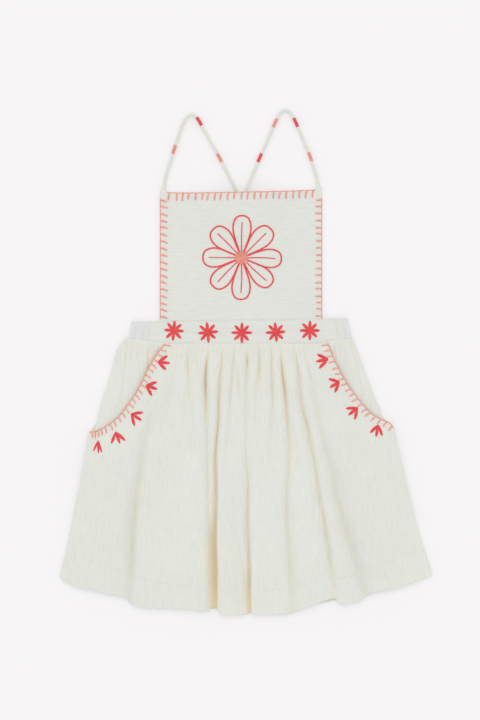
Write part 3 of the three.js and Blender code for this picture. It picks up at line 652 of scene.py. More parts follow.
def gauze_material(name, colour, crinkle_size, strength, deep=None):
    """Matte crepe cloth: threads of the weave, long crinkles, a second tone mixed in by the attribute for
    painted warm shade, which is the warm colour of that painted shade down in the folds unless another colour
    is given, and painted shade, less light, where the shade attribute says so."""
    if name in bpy.data.materials:
        return bpy.data.materials[name]
    props = bpy.context.scene.dress_cloth
    material, tree, shader = new_material(
        name, {"Roughness": 0.93, "Sheen Weight": 0.12, "Sheen Roughness": 0.6})
    uv = node(tree, "ShaderNodeUVMap", uv_map="UVMap")
    # Mix factor for the second tone: painted warm shade in the folds, or a piece's own other colour
    hollow = node(tree, "ShaderNodeAttribute", attribute_name="hollow")
    tint = node(tree, "ShaderNodeMix", {6: (*colour, 1), 7: (*(deep or props.hollow), 1)},
                data_type="RGBA")
    stretch = node(tree, "ShaderNodeMapping", {"Scale": crinkle_size})
    crepe = node(tree, "ShaderNodeTexNoise", {"Scale": 1.0, "Detail": 4.0, "Roughness": 0.6})
    crepe_tone = noise_range(tree, 0.955, 1.03)
    blotch = node(tree, "ShaderNodeTexNoise", {"Scale": 14.0, "Detail": 2.0})
    blotch_tone = noise_range(tree, 0.985, 1.01)
    both = node(tree, "ShaderNodeMath", operation="MULTIPLY")
    shade = node(tree, "ShaderNodeAttribute", attribute_name="shade")
    lit = node(tree, "ShaderNodeMath", {0: 1.0}, operation="SUBTRACT")
    dimmed = node(tree, "ShaderNodeMath", operation="MULTIPLY")
    final = node(tree, "ShaderNodeHueSaturation")
    weave = node(tree, "ShaderNodeMath", operation="ADD")
    fine = node(tree, "ShaderNodeBump", {"Strength": 0.35, "Distance": 0.12 * MM})
    coarse = node(tree, "ShaderNodeBump", {"Strength": strength, "Distance": 1.0 * MM})
    for entry, direction in enumerate("XY"):
        threads = node(tree, "ShaderNodeTexWave", {"Scale": 0.314 / props.weave, "Distortion": 0.6,
                                                   "Detail": 1.0, "Detail Scale": 2.0},
                       bands_direction=direction)
        wire(tree, (uv, 0, threads, "Vector"), (threads, "Fac", weave, entry))
    wire(tree,
         (hollow, "Fac", tint, 0), (uv, 0, stretch, "Vector"), (stretch, 0, crepe, "Vector"),
         (crepe, "Fac", crepe_tone, "Value"), (uv, 0, blotch, "Vector"),
         (blotch, "Fac", blotch_tone, "Value"), (crepe_tone, 0, both, 0), (blotch_tone, 0, both, 1),
         (shade, "Fac", lit, 1), (both, 0, dimmed, 0), (lit, 0, dimmed, 1), (tint, 2, final, "Color"),
         (dimmed, 0, final, "Value"), (final, 0, shader, "Base Color"), (weave, 0, fine, "Height"),
         (crepe, "Fac", coarse, "Height"), (fine, 0, coarse, "Normal"), (coarse, 0, shader, "Normal"))
    return material


def thread_material(name, colour):
    """Stranded embroidery thread: fine strands in the bump and a slight change of tone."""
    if name in bpy.data.materials:
        return bpy.data.materials[name]
    material, tree, shader = new_material(name, {"Roughness": 0.7, "Sheen Weight": 0.1})
    place = node(tree, "ShaderNodeTexCoord")
    strand = node(tree, "ShaderNodeTexNoise", {"Scale": 1500.0, "Detail": 2.0})
    tone = node(tree, "ShaderNodeTexNoise", {"Scale": 260.0, "Detail": 1.0})
    change = noise_range(tree, 0.86, 1.1)
    final = node(tree, "ShaderNodeHueSaturation", {"Color": (*colour, 1)})
    bump = node(tree, "ShaderNodeBump", {"Strength": 0.4, "Distance": 0.15 * MM})
    wire(tree,
         (place, "Object", strand, "Vector"), (place, "Object", tone, "Vector"),
         (tone, "Fac", change, "Value"), (change, 0, final, "Value"), (final, 0, shader, "Base Color"),
         (strand, "Fac", bump, "Height"), (bump, 0, shader, "Normal"))
    return material


def gauze():
    colour = [1.04 * channel for channel in bpy.context.scene.dress_cloth.gauze]
    return gauze_material("crepe_lengthwise", colour, (420, 45, 1), 0.7)


def bib_gauze():
    return gauze_material("crepe_crosswise", bpy.context.scene.dress_cloth.gauze, (60, 420, 1), 0.4)


def red_thread():
    return thread_material("red_thread", bpy.context.scene.dress_thread.red)


def salmon_thread():
    return thread_material("salmon_thread", bpy.context.scene.dress_thread.salmon)


# Waistband edges
def band_top(x):
    return BAND_TOP_Y + BAND_TILT * x


def band_bottom(x):
    return BAND_BOTTOM_Y + BAND_END_RISE * soft((np.abs(x) - BAND_STRAIGHT) / BAND_RISE_REACH)


def band_place(x_at_top, down):
    across = (x_at_top - BAND_LEFT) / (BAND_RIGHT - BAND_LEFT)
    x = x_at_top + down * mix(-BAND_LEFT_SPREAD, BAND_RIGHT_SPREAD, across)
    return x, mix(band_top(x), band_bottom(x), down)


# Straps
def strap_route(side, count):
    flat = path_points(STRAP_ROUTES[side], count)
    distance = np.hypot(*(flat - CROSSING).T)
    hump = 1 - soft((distance - CROSSING_FLAT) / CROSSING_SLOPE)
    rise = mix(STRAP_REST, STRAP_OVER, hump) if side == "right" else np.full(count, STRAP_REST)
    return np.column_stack([flat, rise])


def tent(x, y):
    """Height that cloth needs at a point to clear the straps behind it."""
    height = np.zeros_like(x)
    for side in ("left", "right"):
        route = strap_route(side, HIDDEN_STEPS + 1)
        hidden = route[HIDDEN_STEPS // 2 + 1:]
        for px, py, pz in hidden[hidden[:, 1] < HIDDEN_FROM]:
            share = 1 - soft((np.hypot(x - px, y - py) - TENT_FLAT) / (TENT_END - TENT_FLAT))
            height = np.maximum(height, (pz + STRAP_RADIUS + TENT_ROOM) * share)
    return height * soft((y - band_bottom(x)) / TENT_FOOT_REACH)


# Bib
def bib_top(x):
    across = x / BIB_HALF_WIDTH
    return BIB_TOP_Y + BIB_TOP_TILT * x - BIB_TOP_DIP * (1 - across**2)


def bib_shape():
    rows, columns = np.meshgrid(*grid("bib"), indexing="ij")
    x = mix(-BIB_HALF_WIDTH, BIB_HALF_WIDTH, columns)
    corner = CORNER_RISE * (1 - soft(np.abs(np.abs(x) - CORNER_PLACE) / CORNER_REACH))
    y = mix(bib_top(x) + corner, band_top(x) - TUCK, rows)
    over_band = BAND_FRONT_UNDER * soft((band_top(x) + BIB_FOOT_REACH - y) / BIB_FOOT_REACH)
    under = np.maximum(tent(x, y), over_band)
    top = under + slanted(x, y, under, DOUBLED)
    strap_x = np.sign(x) * abs(STRAP_ROUTES["left"][0][0])
    distance = np.hypot(x - strap_x, y - bib_top(strap_x))
    top = top + BIB_CORNER_LOFT * (1 - soft(distance / BIB_CORNER_REACH))
    wrinkle = crepe(BIB_CREPE, y, x)
    side = np.minimum(BIB_HALF_WIDTH - np.abs(x), bib_top(x) - y)
    groove = QUILT["groove"] * ridge(side, QUILT["groove_at"], QUILT["groove_width"])
    quilt = QUILT["puff"] * soft(side / QUILT["reach"]) - groove
    top = top + DOUBLED_CREPE_HEIGHT * wrinkle * soft(side / 4) + quilt
    waver = 0.35 * lattice(y / 26, x * 0 + 3.5, 31) * np.sign(x) * soft((np.abs(x) - 60) / 40)
    return x + waver, y, top, under


class DRESS_OT_bib(bpy.types.Operator):
    """Make the double-cloth bib"""
    bl_idname = "dress.bib"
    bl_label = "Bib"

    def execute(self, context):
        x, y, top, under = bib_shape()
        top, under = rounded(x, y, top, under, BIB_ROUND)
        Surface("bib", x, y, top)
        piece = cloth("bib_cloth", x, y, top, under, np.stack([x, y], -1))
        finish_piece(piece, bib_gauze(), ["bib"])
        return {"FINISHED"}


# Skirt
def seam_bow(side, share):
    """How far to the right a side seam lies of a straight line, at a share of the way down to the hem."""
    inward = 1 if side == "left" else -1
    return inward * SEAM_BOWS[side] * 4 * share * (1 - share)


def skirt_edges(shares):
    """Left and right edge of the front for each share of the way down: mouth, then side seam."""
    mouth_share = MOUTH_ROWS / FRONT_ROWS
    below = np.clip((shares - mouth_share) / (1 - mouth_share), 0, 1)
    edges = []
    for side in ("left", "right"):
        mouth = along_path(MOUTHS[side], np.clip(shares / mouth_share, 0, 1))
        seam = mix(np.array(MOUTHS[side][-1]), np.array(HEM_CORNERS[side]), below[:, None])
        edge = np.where(shares[:, None] <= mouth_share, mouth, seam)
        edge[:, 0] += seam_bow(side, below)
        edges.append(edge.T[..., None])
    return edges


def spanned(left, right, s, t, foot_y):
    """Rows across from one edge to the other, whose middle comes down to foot_y in the last row."""
    (lx, ly), (rx, ry) = left, right
    middle_y = mix(band_bottom(0), foot_y, t)
    return mix(lx, rx, s), mix(ly, ry, s) - 4 * s * (1 - s) * ((ly + ry) / 2 - middle_y)


def to_waist(x, y, t, over, reach):
    """Bends the first rows so that they begin at the band's lower edge, or as far over it as given."""
    return y + (band_bottom(x[:1]) + over - y[:1]) * (1 - soft(t / reach))


def front_base(x, y):
    plateau = POCKET_PLATEAU
    over_bag = (soft((np.abs(x) - plateau["side"]) / plateau["side_blend"])
                * soft((y - plateau["foot"]) / plateau["foot_blend"]))
    return mix(FRONT_UNDER, FRONT_OVER_POCKET, over_bag)


def silhouette(y):
    """Half the width of the whole skirt at a height."""
    return np.interp(y, *zip(*SILHOUETTE))


def skirt_front_shape():
    rows, columns = grid("skirt_front")
    left, right = skirt_edges(rows)
    t = rows[:, None]
    even = (columns * 2 - 1)[None, :]
    part_row = t * FRONT_ROWS
    s = (1 + even * mix(1, mix(FAN, 1, even**2), soft(part_row / MOUTH_ROWS))) / 2
    x, y = spanned(left, right, s, t, HEM_MIDDLE_Y)
    y = to_waist(x, y, t, TUCK, WAIST_BLEND)
    hem = np.array(HEM_LINE)
    y = y + (np.interp(x[-1:], hem[:, 0], hem[:, 1]) - y[-1:]) * soft((t - 1 + HEM_REACH) / HEM_REACH)
    side_distance = np.minimum(s, 1 - s) * (right[0] - left[0])
    # The creases also give the painted warm shade down in them
    share, tone = creased(CREASES, x, y)
    fine_share, fine_shade = creased(small_gathers(*SMALL_GATHERS), x, y)
    down = band_bottom(0) - y
    beside_mouth = 1 - soft((part_row - MOUTH_ROWS + 2) / 2)
    gape = MOUTH_GAPE * beside_mouth
    loft = mix(WAIST_LOFT, BODY_LOFT, soft(down / LOFT_REACH))
    loft = loft * soft((side_distance + gape) / (SIDE_REACH + gape))
    loft = loft * mix(HEM_LOFT_SHARE, 1, soft((FRONT_ROWS - part_row) / HEM_SETTLE_ROWS))
    gather = GATHER_LOFT * (1 - soft((down - 4) / GATHER_REACH)) * fine_share
    flat_x, flat_y = x * SKIRT_HALF_FLAT / silhouette(y), band_bottom(x) - y
    streak = crepe(FRONT_CREPE, flat_x, flat_y)
    puff = loft * share + gather + FRONT_CREPE_HEIGHT * streak * soft(side_distance / 6)
    seated = FRONT_UNDER + WAIST_RISE * (1 - soft(down / WAIST_RISE_REACH))
    under = np.maximum(front_base(x, y), seated) + puff * soft(down / WAIST_STRIP)
    top = under + slanted(x, y, under, GAUZE)
    to_hem = (1 - t) * SKIRT_LENGTH
    top = top - HEM_GROOVE * ridge(to_hem, HEM_DEPTH, HEM_GROOVE_WIDTH)
    top = top + HEM_DOUBLED * soft((HEM_DEPTH - to_hem) / 2)
    # Painted warm shade: from the creases, from the small gathers, and a little everywhere, more near the
    # waist
    near_waist = 1 - soft((down - 6) / GATHER_REACH)
    warm = WARM_SHADE[0] + WARM_SHADE[1] * near_waist
    hollow = 1 - (1 - tone * soft(down / WAIST_STRIP)) * (1 - fine_shade * soft(down / 4)) * (1 - warm)
    shade = creased(SHADES, x, y)[1] + SIDE_SHADE * soft((np.abs(x) - 60) / 60)
    return x, y, top, np.stack([flat_x, flat_y], -1), np.clip(hollow, 0, 1), shade


class DRESS_OT_skirt_front(bpy.types.Operator):
    """Make the gathered skirt front with its pocket mouths"""
    bl_idname = "dress.skirt_front"
    bl_label = "Skirt front"

    def execute(self, context):
        x, y, top, uv, hollow, shade = skirt_front_shape()
        under = top - slanted(x, y, top, SHELL)
        top, under = rounded(x, y, top, under, CLOTH_ROUND)
        Surface("skirt_front", x, y, top)
        piece = cloth("skirt_front_cloth", x, y, top, under, uv, hollow=hollow, shade=shade)
        finish_piece(piece, gauze(), ["skirt_front"])
        return {"FINISHED"}


def mouth_x(side, y):
    points = np.array(MOUTHS[side][::-1])
    return np.interp(y, points[:, 1], points[:, 0])


def hip_shape(side):
    rows, columns = grid("hip")
    (ex, ey), (ix, iy) = (along_path(HIP_EDGES[side][edge], rows).T[..., None]
                          for edge in ("outer", "inner"))
    s, t = columns[None, :], rows[:, None]
    sign = -1 if side == "left" else 1
    x = mix(ex, ix, s)
    at_foot = soft((t * POCKET_ROWS - POCKET_ROWS) / POCKET_SAG_ROWS + 1)
    y = mix(ey, iy, s) - 4 * s * (1 - s) * (ey - POCKET_FOOT_Y - POCKET_FOOT_SAG) * at_foot
    y = to_waist(x, y, t, TUCK, HIP_WAIST_BLEND)
    beside = sign * (x - mouth_x(side, y))
    shows = soft((beside - HIP_FLAT) / HIP_REACH)
    from_edge = soft(sign * (ex - x) / HIP_REACH)
    share, tone = creased(HIP_CREASES[side], x, y)
    waist = [abs(HIP_EDGES[side][edge][0][0]) for edge in ("inner", "outer")]
    start = waist[0] if side == "right" else -waist[1]
    gathers = small_gathers(start, start + waist[1] - waist[0], *HIP_GATHERS)
    fine_share, fine_shade = creased(gathers, x, y)
    streak = crepe(HIP_CREPE, x, y)
    down = band_bottom(x) - y
    near_waist = 1 - soft(down / HIP_GATHER_REACH)
    puff = HIP_LOFT * shows * from_edge * share
    puff = puff + HIP_GATHER_LOFT * near_waist * (fine_share - 0.5) * from_edge
    crepe_height = HIP_CREPE_HEIGHT[0] + HIP_CREPE_HEIGHT[1] * near_waist
    puff = puff + crepe_height * streak * soft(sign * (ex - x) / 5) * soft((beside - 1) / 4)
    rise = WAIST_RISE * (1 - soft(down / WAIST_RISE_REACH))
    under = POCKET_UNDER + rise + np.maximum(0, puff) * soft((down + 2) / 5)
    top = under + slanted(x, y, under, GAUZE)
    # Painted shadow behind the mouth, painted shade in the creases and gathers, and a little painted shade
    # everywhere
    upper, lower = MOUTH_SHADOW_STRENGTH[side]
    strength = mix(lower, upper, soft((y - 10) / 15) * (1 - soft((y - 55) / 15)))
    reach, fade = MOUTH_SHADOW
    shadow = strength * np.exp(-((np.maximum(0, beside) / reach) ** fade))
    hollow = shadow + tone + 0.8 * fine_shade + 0.03
    if side == "right":
        x, y, top, hollow = [v[:, ::-1] for v in (x, y, top, hollow)]
    return x, y, top, np.clip(hollow, 0, 1)


class DRESS_OT_hips(bpy.types.Operator):
    """Make the hip pieces that show behind the pocket mouths"""
    bl_idname = "dress.hips"
    bl_label = "Hip pieces"

    def execute(self, context):
        for side in ("left", "right"):
            x, y, top, hollow = hip_shape(side)
            under = np.maximum(GAUZE + 0.1, top - slanted(x, y, top, SHELL))
            top, under = rounded(x, y, top, under, CLOTH_ROUND)
            uv = np.stack([x, y], -1)
            shade = np.full_like(x, SIDE_SHADE)
            piece = cloth("hip_" + side, x, y, top, under, uv, hollow=hollow, shade=shade)
            finish_piece(piece, gauze(), ["pocket_back_" + side])
        return {"FINISHED"}


def skirt_back_shape():
    """Rows across from the left outline to the right one, hip corners and hem as on the part."""
    levels, columns = grid("skirt_back")
    share = np.linspace(0, 1, 13)
    sides = []
    for side, inward in (("left", 1), ("right", -1)):
        hem = np.array(HEM_CORNERS[side]) + (0, BACK_HEM_RISE)
        seam = mix(np.array(MOUTHS[side][-1]), hem, share[:, None])
        seam[:, 0] += seam_bow(side, share)
        outline = np.vstack([HIP_EDGES[side]["outer"][:-2], seam]) + (inward * BACK_INSET, 0)
        run = distances(outline)
        sides.append(pick(levels * run[-1], run, outline).T[..., None])
    s, t = columns[None, :], levels[:, None]
    x, y = spanned(*sides, s, t, HEM_MIDDLE_Y + BACK_HEM_RISE)
    y = to_waist(x, y, t, -SEAM_GAP, WAIST_BLEND)
    flat_x, flat_y = np.broadcast_arrays((s - 0.5) * BACK_WIDTH, t * SKIRT_LENGTH)
    gather = np.clip(crinkles(flat_x * 0.55, flat_y, *BACK_GATHERS), 0, 1) * (1 - 0.6 * soft(t / 0.7))
    broad = np.clip(crinkles(flat_x * 0.6, flat_y, *BACK_FOLDS), 0, 1)
    troughs = (0.3 * gather + 0.25 * broad) * soft(t / 0.01)
    return x, y, troughs, np.stack([flat_x, flat_y], -1)


class DRESS_OT_skirt_back(bpy.types.Operator):
    """Make the skirt back, on which the dress lies"""
    bl_idname = "dress.skirt_back"
    bl_label = "Skirt back"

    def execute(self, context):
        x, y, troughs, uv = skirt_back_shape()
        top = np.full_like(x, GAUZE)
        under = np.maximum(0.02, troughs)
        top, under = rounded(x, y, top, under, BACK_ROUND)
        # Painted warm shade down in the troughs between the gathers
        piece = cloth("skirt_back_cloth", x, y, top, under, uv, hollow=np.clip(troughs * 0.6, 0, 1))
        finish_piece(piece, gauze(), ["skirt_back"])
        return {"FINISHED"}


# Waistband
BAND_HEIGHT = 30
BAND_FRONT_LENGTH = 230
BAND_PUFF = 0.5
BAND_PUFF_REACH = 8
BAND_GROOVE = 0.3
BAND_STITCH_IN = 1.8
RIB_STITCH = {"at": 0.17, "width": 0.03, "hold": 0.75}  # places and width as shares of the height


class DRESS_OT_band_front(bpy.types.Operator):
    """Make the plain front of the waistband"""
    bl_idname = "dress.band_front"
    bl_label = "Front band"

    def execute(self, context):
        down, columns = np.meshgrid(*grid("band_front"), indexing="ij")
        x_at_top = mix(ELASTIC_LEFT - TUCK, ELASTIC_RIGHT + TUCK, columns)
        x, y = band_place(x_at_top, down)
        under = np.maximum(BAND_FRONT_UNDER, tent(x, y))
        top = under + slanted(x, y, under, DOUBLED)
        edge = np.minimum(down, 1 - down) * BAND_HEIGHT
        end = np.minimum(columns, 1 - columns) * BAND_FRONT_LENGTH
        wrinkle = crepe(BAND_CREPE, y, x) + crepe(BAND_CROSS_CREPE, x, y)
        puff = BAND_PUFF * soft(edge / BAND_PUFF_REACH) * soft(end / BAND_PUFF_REACH)
        top = top + DOUBLED_CREPE_HEIGHT * wrinkle * soft(edge / 3) + puff
        top = top - BAND_GROOVE * ridge(edge, BAND_STITCH_IN, 0.8)
        top, under = rounded(x, y, top, under, CLOTH_ROUND, BACK_ROUND)
        Surface("band", x, y, top)
        piece = cloth("band_front_cloth", x, y, top, under, np.stack([x, y], -1))
        finish_piece(piece, bib_gauze(), ["waistband_front"])
        return {"FINISHED"}


def elastic_section():
    """Outer and inner points of the back band's section in pairs, and where each rib lies."""
    outer_radius = ELASTIC_TOP / 2
    inner_radius = (ELASTIC_INNER - BAND_BACK_TOP) / 2
    inner_middle = BAND_BACK_TOP + inner_radius
    end_left, end_right = BAND_LEFT + outer_radius, BAND_RIGHT - outer_radius
    outer, inner, ribbed = [], [], []
    draw = np.random.RandomState(7)

    def ribs(start, end):
        count = round(abs(end - start) / RIB_PITCH)
        edges = np.linspace(0, 1, count + 1)
        edges[1:-1] += draw.uniform(-0.18, 0.18, count - 1) / count
        for k in range(count):
            high = draw.uniform(0.75, 1.15)
            for j in range(8):
                share = mix(edges[k], edges[k + 1], j / 8)
                x = mix(start, end, share)
                put((x, ELASTIC_TOP), (x, ELASTIC_INNER), high * math.sin(math.pi * j / 8) ** 0.7)
        put((end, ELASTIC_TOP), (end, ELASTIC_INNER))

    def put(outside, inside, rib=0):
        outer.append(outside)
        inner.append(inside)
        ribbed.append(rib)

    def around(x, start):
        for i in range(1, 10):
            angle = start + math.pi * i / 10
            cos, sin = math.cos(angle), math.sin(angle)
            put((x + outer_radius * cos, outer_radius + outer_radius * sin),
                (x + inner_radius * cos, inner_middle + inner_radius * sin))

    ribs(ELASTIC_LEFT, end_left)
    around(end_left, math.pi / 2)
    for x in np.linspace(end_left, end_right, 220):
        put((x, 0), (x, BAND_BACK_TOP))
    around(end_right, -math.pi / 2)
    ribs(end_right, ELASTIC_RIGHT)
    return np.array(outer), np.array(inner), np.array(ribbed)


class DRESS_OT_band_back(bpy.types.Operator):
    """Make the back of the waistband, whose elastic ends come round to the front"""
    bl_idname = "dress.band_back"
    bl_label = "Back band"

    def execute(self, context):
        outer, inner, ribbed = elastic_section()
        down = edged(*BAND_BACK_ROWS)
        count = len(outer)
        points, uvs = [], []
        for share in down:
            stitched = 1 - RIB_STITCH["hold"] * ridge(share, RIB_STITCH["at"], RIB_STITCH["width"])
            swell = RIB_HEIGHT * ribbed * stitched * float(soft(min(share, 1 - share) / 0.05))
            for ring, sign in ((outer, 1), (inner, 0)):
                x, y = band_place(ring[:, 0], share)
                waver = 0.25 * lattice(x / 3, y / 9, 71) * (ribbed > 0)
                z = ring[:, 1] + sign * (swell - 0.15 * (1 - stitched) * (ribbed > 0))
                edge = 1 - float(soft(min(share, 1 - share) / 0.03))
                middle = (outer[:, 1] + inner[:, 1]) / 2
                z = mix(z, middle, 0.5 * edge)
                points.append(np.stack([x, y, z + 0.4 * waver * sign], -1))
                uvs.append(np.stack([x, y], -1))
        points, uvs = np.concatenate(points), np.concatenate(uvs)
        faces = []
        rows = len(down)
        for r in range(rows - 1):
            a, b = r * 2 * count, (r + 1) * 2 * count
            for i in range(count - 1):
                faces.append((a + i, a + i + 1, b + i + 1, b + i))
                faces.append((a + count + i, b + count + i, b + count + i + 1, a + count + i + 1))
            for i in (0, count - 1):
                quad = (a + i, b + i, b + count + i, a + count + i)
                faces.append(quad if i == 0 else quad[::-1])
        last = (rows - 1) * 2 * count
        for i in range(count - 1):
            faces.append((i, i + count, i + count + 1, i + 1))
            faces.append((last + i, last + i + 1, last + count + i + 1, last + count + i))
        past = np.maximum(ELASTIC_LEFT - points[:, 0], points[:, 0] - ELASTIC_RIGHT - BAND_RIGHT_SPREAD)
        piece = mesh_object("band_back_cloth", points, faces, uvs, hollow=soft(past / 8))
        props = context.scene.dress_cloth
        material = gauze_material("crepe_ribbed", props.gauze, (420, 60, 1), 0.45, tuple(props.elastic))
        finish_piece(piece, material, ["waistband_back"])
        return {"FINISHED"}


# Threads
THREAD_LIFT = 0.25
OUTLINE_LIFT = 0.35
VEIN_LIFT = 0.3
KNOT_LIFT = 0.95
SEAM_LIFT = 0.05
LEG_CROWN = 0.3
FLOAT_MIN, FLOAT_MAX, FLOAT_VALUE = 2, 3, 1  # sockets of the random value node when it draws a float


def thread_curves(name, threads):
    """One curve object that holds every thread as a spline: (points, radii), in millimetres."""
    data = bpy.data.curves.new(name, "CURVE")
    data.dimensions = "3D"
    for points, radii in threads:
        spline = data.splines.new("POLY")
        spline.points.add(len(points) - 1)
        flat = np.column_stack([np.asarray(points) * MM, np.ones(len(points))])
        spline.points.foreach_set("co", flat.ravel())
        spline.points.foreach_set("radius", np.broadcast_to(radii, len(points)).astype(float))
    return placed(name, data)


def new_tree(name, inputs):
    tree = bpy.data.node_groups.new(name, "GeometryNodeTree")
    tree.interface.new_socket("Geometry", in_out="INPUT", socket_type="NodeSocketGeometry")
    for label, kind, default in inputs:
        item = tree.interface.new_socket(label, in_out="INPUT", socket_type="NodeSocket" + kind)
        if default is not None:
            item.default_value = default
    tree.interface.new_socket("Geometry", in_out="OUTPUT", socket_type="NodeSocketGeometry")
    return tree, tree.nodes.new("NodeGroupInput"), tree.nodes.new("NodeGroupOutput")


def finish_tree(tree, start, end, shapes):
    """Makes the shapes real and gives them the tree's material."""
    real = node(tree, "GeometryNodeRealizeInstances")
    paint = node(tree, "GeometryNodeSetMaterial")
    wire(tree, (shapes, 0, real, "Geometry"), (real, "Geometry", paint, "Geometry"),
         (start, "Material", paint, "Material"), (paint, "Geometry", end, "Geometry"))
    return tree


def round_thread_tree():
    """Threads with the curve's own radius, round in section and closed at their ends."""
    name = "round thread"
    if name in bpy.data.node_groups:
        return bpy.data.node_groups[name]
    tree, start, end = new_tree(name, [("Sides", "Int", 8), ("Material", "Material", None)])
    ring = node(tree, "GeometryNodeCurvePrimitiveCircle", {"Radius": MM})
    radius = node(tree, "GeometryNodeInputRadius")
    sweep = node(tree, "GeometryNodeCurveToMesh", {"Fill Caps": True})
    smooth = node(tree, "GeometryNodeSetShadeSmooth")
    wire(tree, (start, "Geometry", sweep, "Curve"), (start, "Sides", ring, "Resolution"),
         (ring, "Curve", sweep, "Profile Curve"), (radius, 0, sweep, "Scale"),
         (sweep, "Mesh", smooth, "Geometry"))
    return finish_tree(tree, start, end, smooth)


def stitch_tree():
    """Short plump stitches laid one after another along each curve, each turned a little."""
    name = "row of stitches"
    if name in bpy.data.node_groups:
        return bpy.data.node_groups[name]
    tree, start, end = new_tree(name, [
        ("Spacing", "Float", 2 * MM), ("Length", "Float", 3 * MM), ("Width", "Float", 1.5 * MM),
        ("Height", "Float", 1 * MM), ("Turn", "Float", 0.2), ("Unevenness", "Float", 0.1),
        ("Seed", "Int", 1), ("Material", "Material", None)])
    points = node(tree, "GeometryNodeCurveToPoints", mode="LENGTH")
    ball = node(tree, "GeometryNodeMeshUVSphere", {"Segments": 8, "Rings": 6, "Radius": 0.5})
    smooth = node(tree, "GeometryNodeSetShadeSmooth")
    size = node(tree, "ShaderNodeCombineXYZ")
    form = node(tree, "GeometryNodeTransform")
    aim = node(tree, "FunctionNodeAlignRotationToVector", axis="X")
    least = node(tree, "ShaderNodeMath", operation="SUBTRACT")
    most = node(tree, "ShaderNodeMath", operation="ADD")
    chance = node(tree, "FunctionNodeRandomValue", data_type="FLOAT")
    about_z = node(tree, "ShaderNodeCombineXYZ")
    turn = node(tree, "FunctionNodeRotateRotation", rotation_space="GLOBAL")
    place = node(tree, "GeometryNodeInstanceOnPoints")
    for limit, entry in ((least, FLOAT_MIN), (most, FLOAT_MAX)):
        wire(tree, (start, "Turn", limit, 0), (start, "Unevenness", limit, 1), (limit, 0, chance, entry))
    wire(tree,
         (start, "Geometry", points, "Curve"), (start, "Spacing", points, "Length"),
         (ball, "Mesh", smooth, "Geometry"), (smooth, 0, form, "Geometry"), (size, 0, form, "Scale"),
         (start, "Length", size, "X"), (start, "Width", size, "Y"), (start, "Height", size, "Z"),
         (points, "Tangent", aim, "Vector"), (start, "Seed", chance, "Seed"),
         (chance, FLOAT_VALUE, about_z, "Z"), (aim, 0, turn, 0), (about_z, 0, turn, 1),
         (points, "Points", place, "Points"), (form, 0, place, "Instance"), (turn, 0, place, "Rotation"))
    return finish_tree(tree, start, end, place)


def grow(name, threads, tree, material, **values):
    """Runs a tree over the threads and keeps the result as a plain mesh."""
    source = thread_curves(name + "_paths", threads)
    modifier = source.modifiers.new("threads", "NODES")
    modifier.node_group = tree
    sockets = {item.name: item.identifier for item in tree.interface.items_tree if item.in_out == "INPUT"}
    modifier[sockets["Material"]] = material
    for label, value in values.items():
        modifier[sockets[label]] = value
    source.update_tag()
    ready = source.evaluated_get(bpy.context.evaluated_depsgraph_get())
    mesh = bpy.data.meshes.new_from_object(ready)
    mesh.name = name
    piece = placed(name, mesh)
    curve = source.data
    bpy.data.objects.remove(source)
    bpy.data.curves.remove(curve)
    if len(mesh.polygons) == 0:
        raise RuntimeError(name + " came out empty")
    return finish_piece(piece, None)


def sew(name, threads, material, sides):
    return grow(name, threads, round_thread_tree(), material, Sides=sides)


def stitch_row(name, threads, material, spacing, size, turn, unevenness, seed):
    """Short stitches along the threads, with their spacing, length, width and height in millimetres."""
    length, width, height = size
    return grow(name, threads, stitch_tree(), material, Spacing=spacing * MM, Length=length * MM,
                Width=width * MM, Height=height * MM, Turn=turn, Unevenness=unevenness, Seed=seed)


def strands(start, heading, length, form, surface):
    """A satin-stitched leaf: threads side by side, narrow at its foot and round at its tip."""
    made = []
    for k in range(form["strands"]):
        side = 2 * k / (form["strands"] - 1) - 1
        points, radii = [], []
        reach = length * (1 - 0.13 * side * side)
        for t in np.linspace(0, 1, 10):
            full = mix(form["foot"], 1, float(soft(t / 0.6))) * (1 - 0.3 * max(0, t - 0.8) / 0.2)
            out = side * form["half_width"] * full
            x = start[0] + heading[0] * reach * t - heading[1] * out
            y = start[1] + heading[1] * reach * t + heading[0] * out
            crown = 0.35 * (1 - side * side) * math.sin(math.pi * min(1, 0.06 + 0.9 * t)) ** 0.5
            points.append((x, y, surface.height(x, y) + THREAD_LIFT + crown))
            radii.append(form["strand"] * (0.8 + 0.2 * math.sin(math.pi * t)))
        made.append((points, radii))
    return made


# Flower on the bib
GOLDEN_ANGLE = 2.39996
FLOWER = {"centre": (0.6, 180), "petals": 8, "length": 50.8, "tall": 0.044, "half_width": 11.8, "disc": 8.5,
          "vein": 0.82, "knots": 106}


def petal_outline(angle, length, half_width):
    rise = 1 - (1 - np.linspace(0, 1, 60)) ** 2.2
    along = mix(0.13, 1, rise)
    power = mix(0.5, 0.36, soft((along - 0.6) / 0.35))
    beside = along * length * math.tan(math.pi / FLOWER["petals"]) - 0.1
    width = np.minimum(half_width * np.sin(np.pi * along**2.05) ** power, beside)
    width[-1] = 0
    side = np.stack([along * length, width], -1)
    side = np.concatenate([side, side[-2::-1] * (1, -1)])
    cos, sin = math.cos(angle), math.sin(angle)
    return np.stack([side[:, 0] * cos - side[:, 1] * sin, side[:, 0] * sin + side[:, 1] * cos], -1)


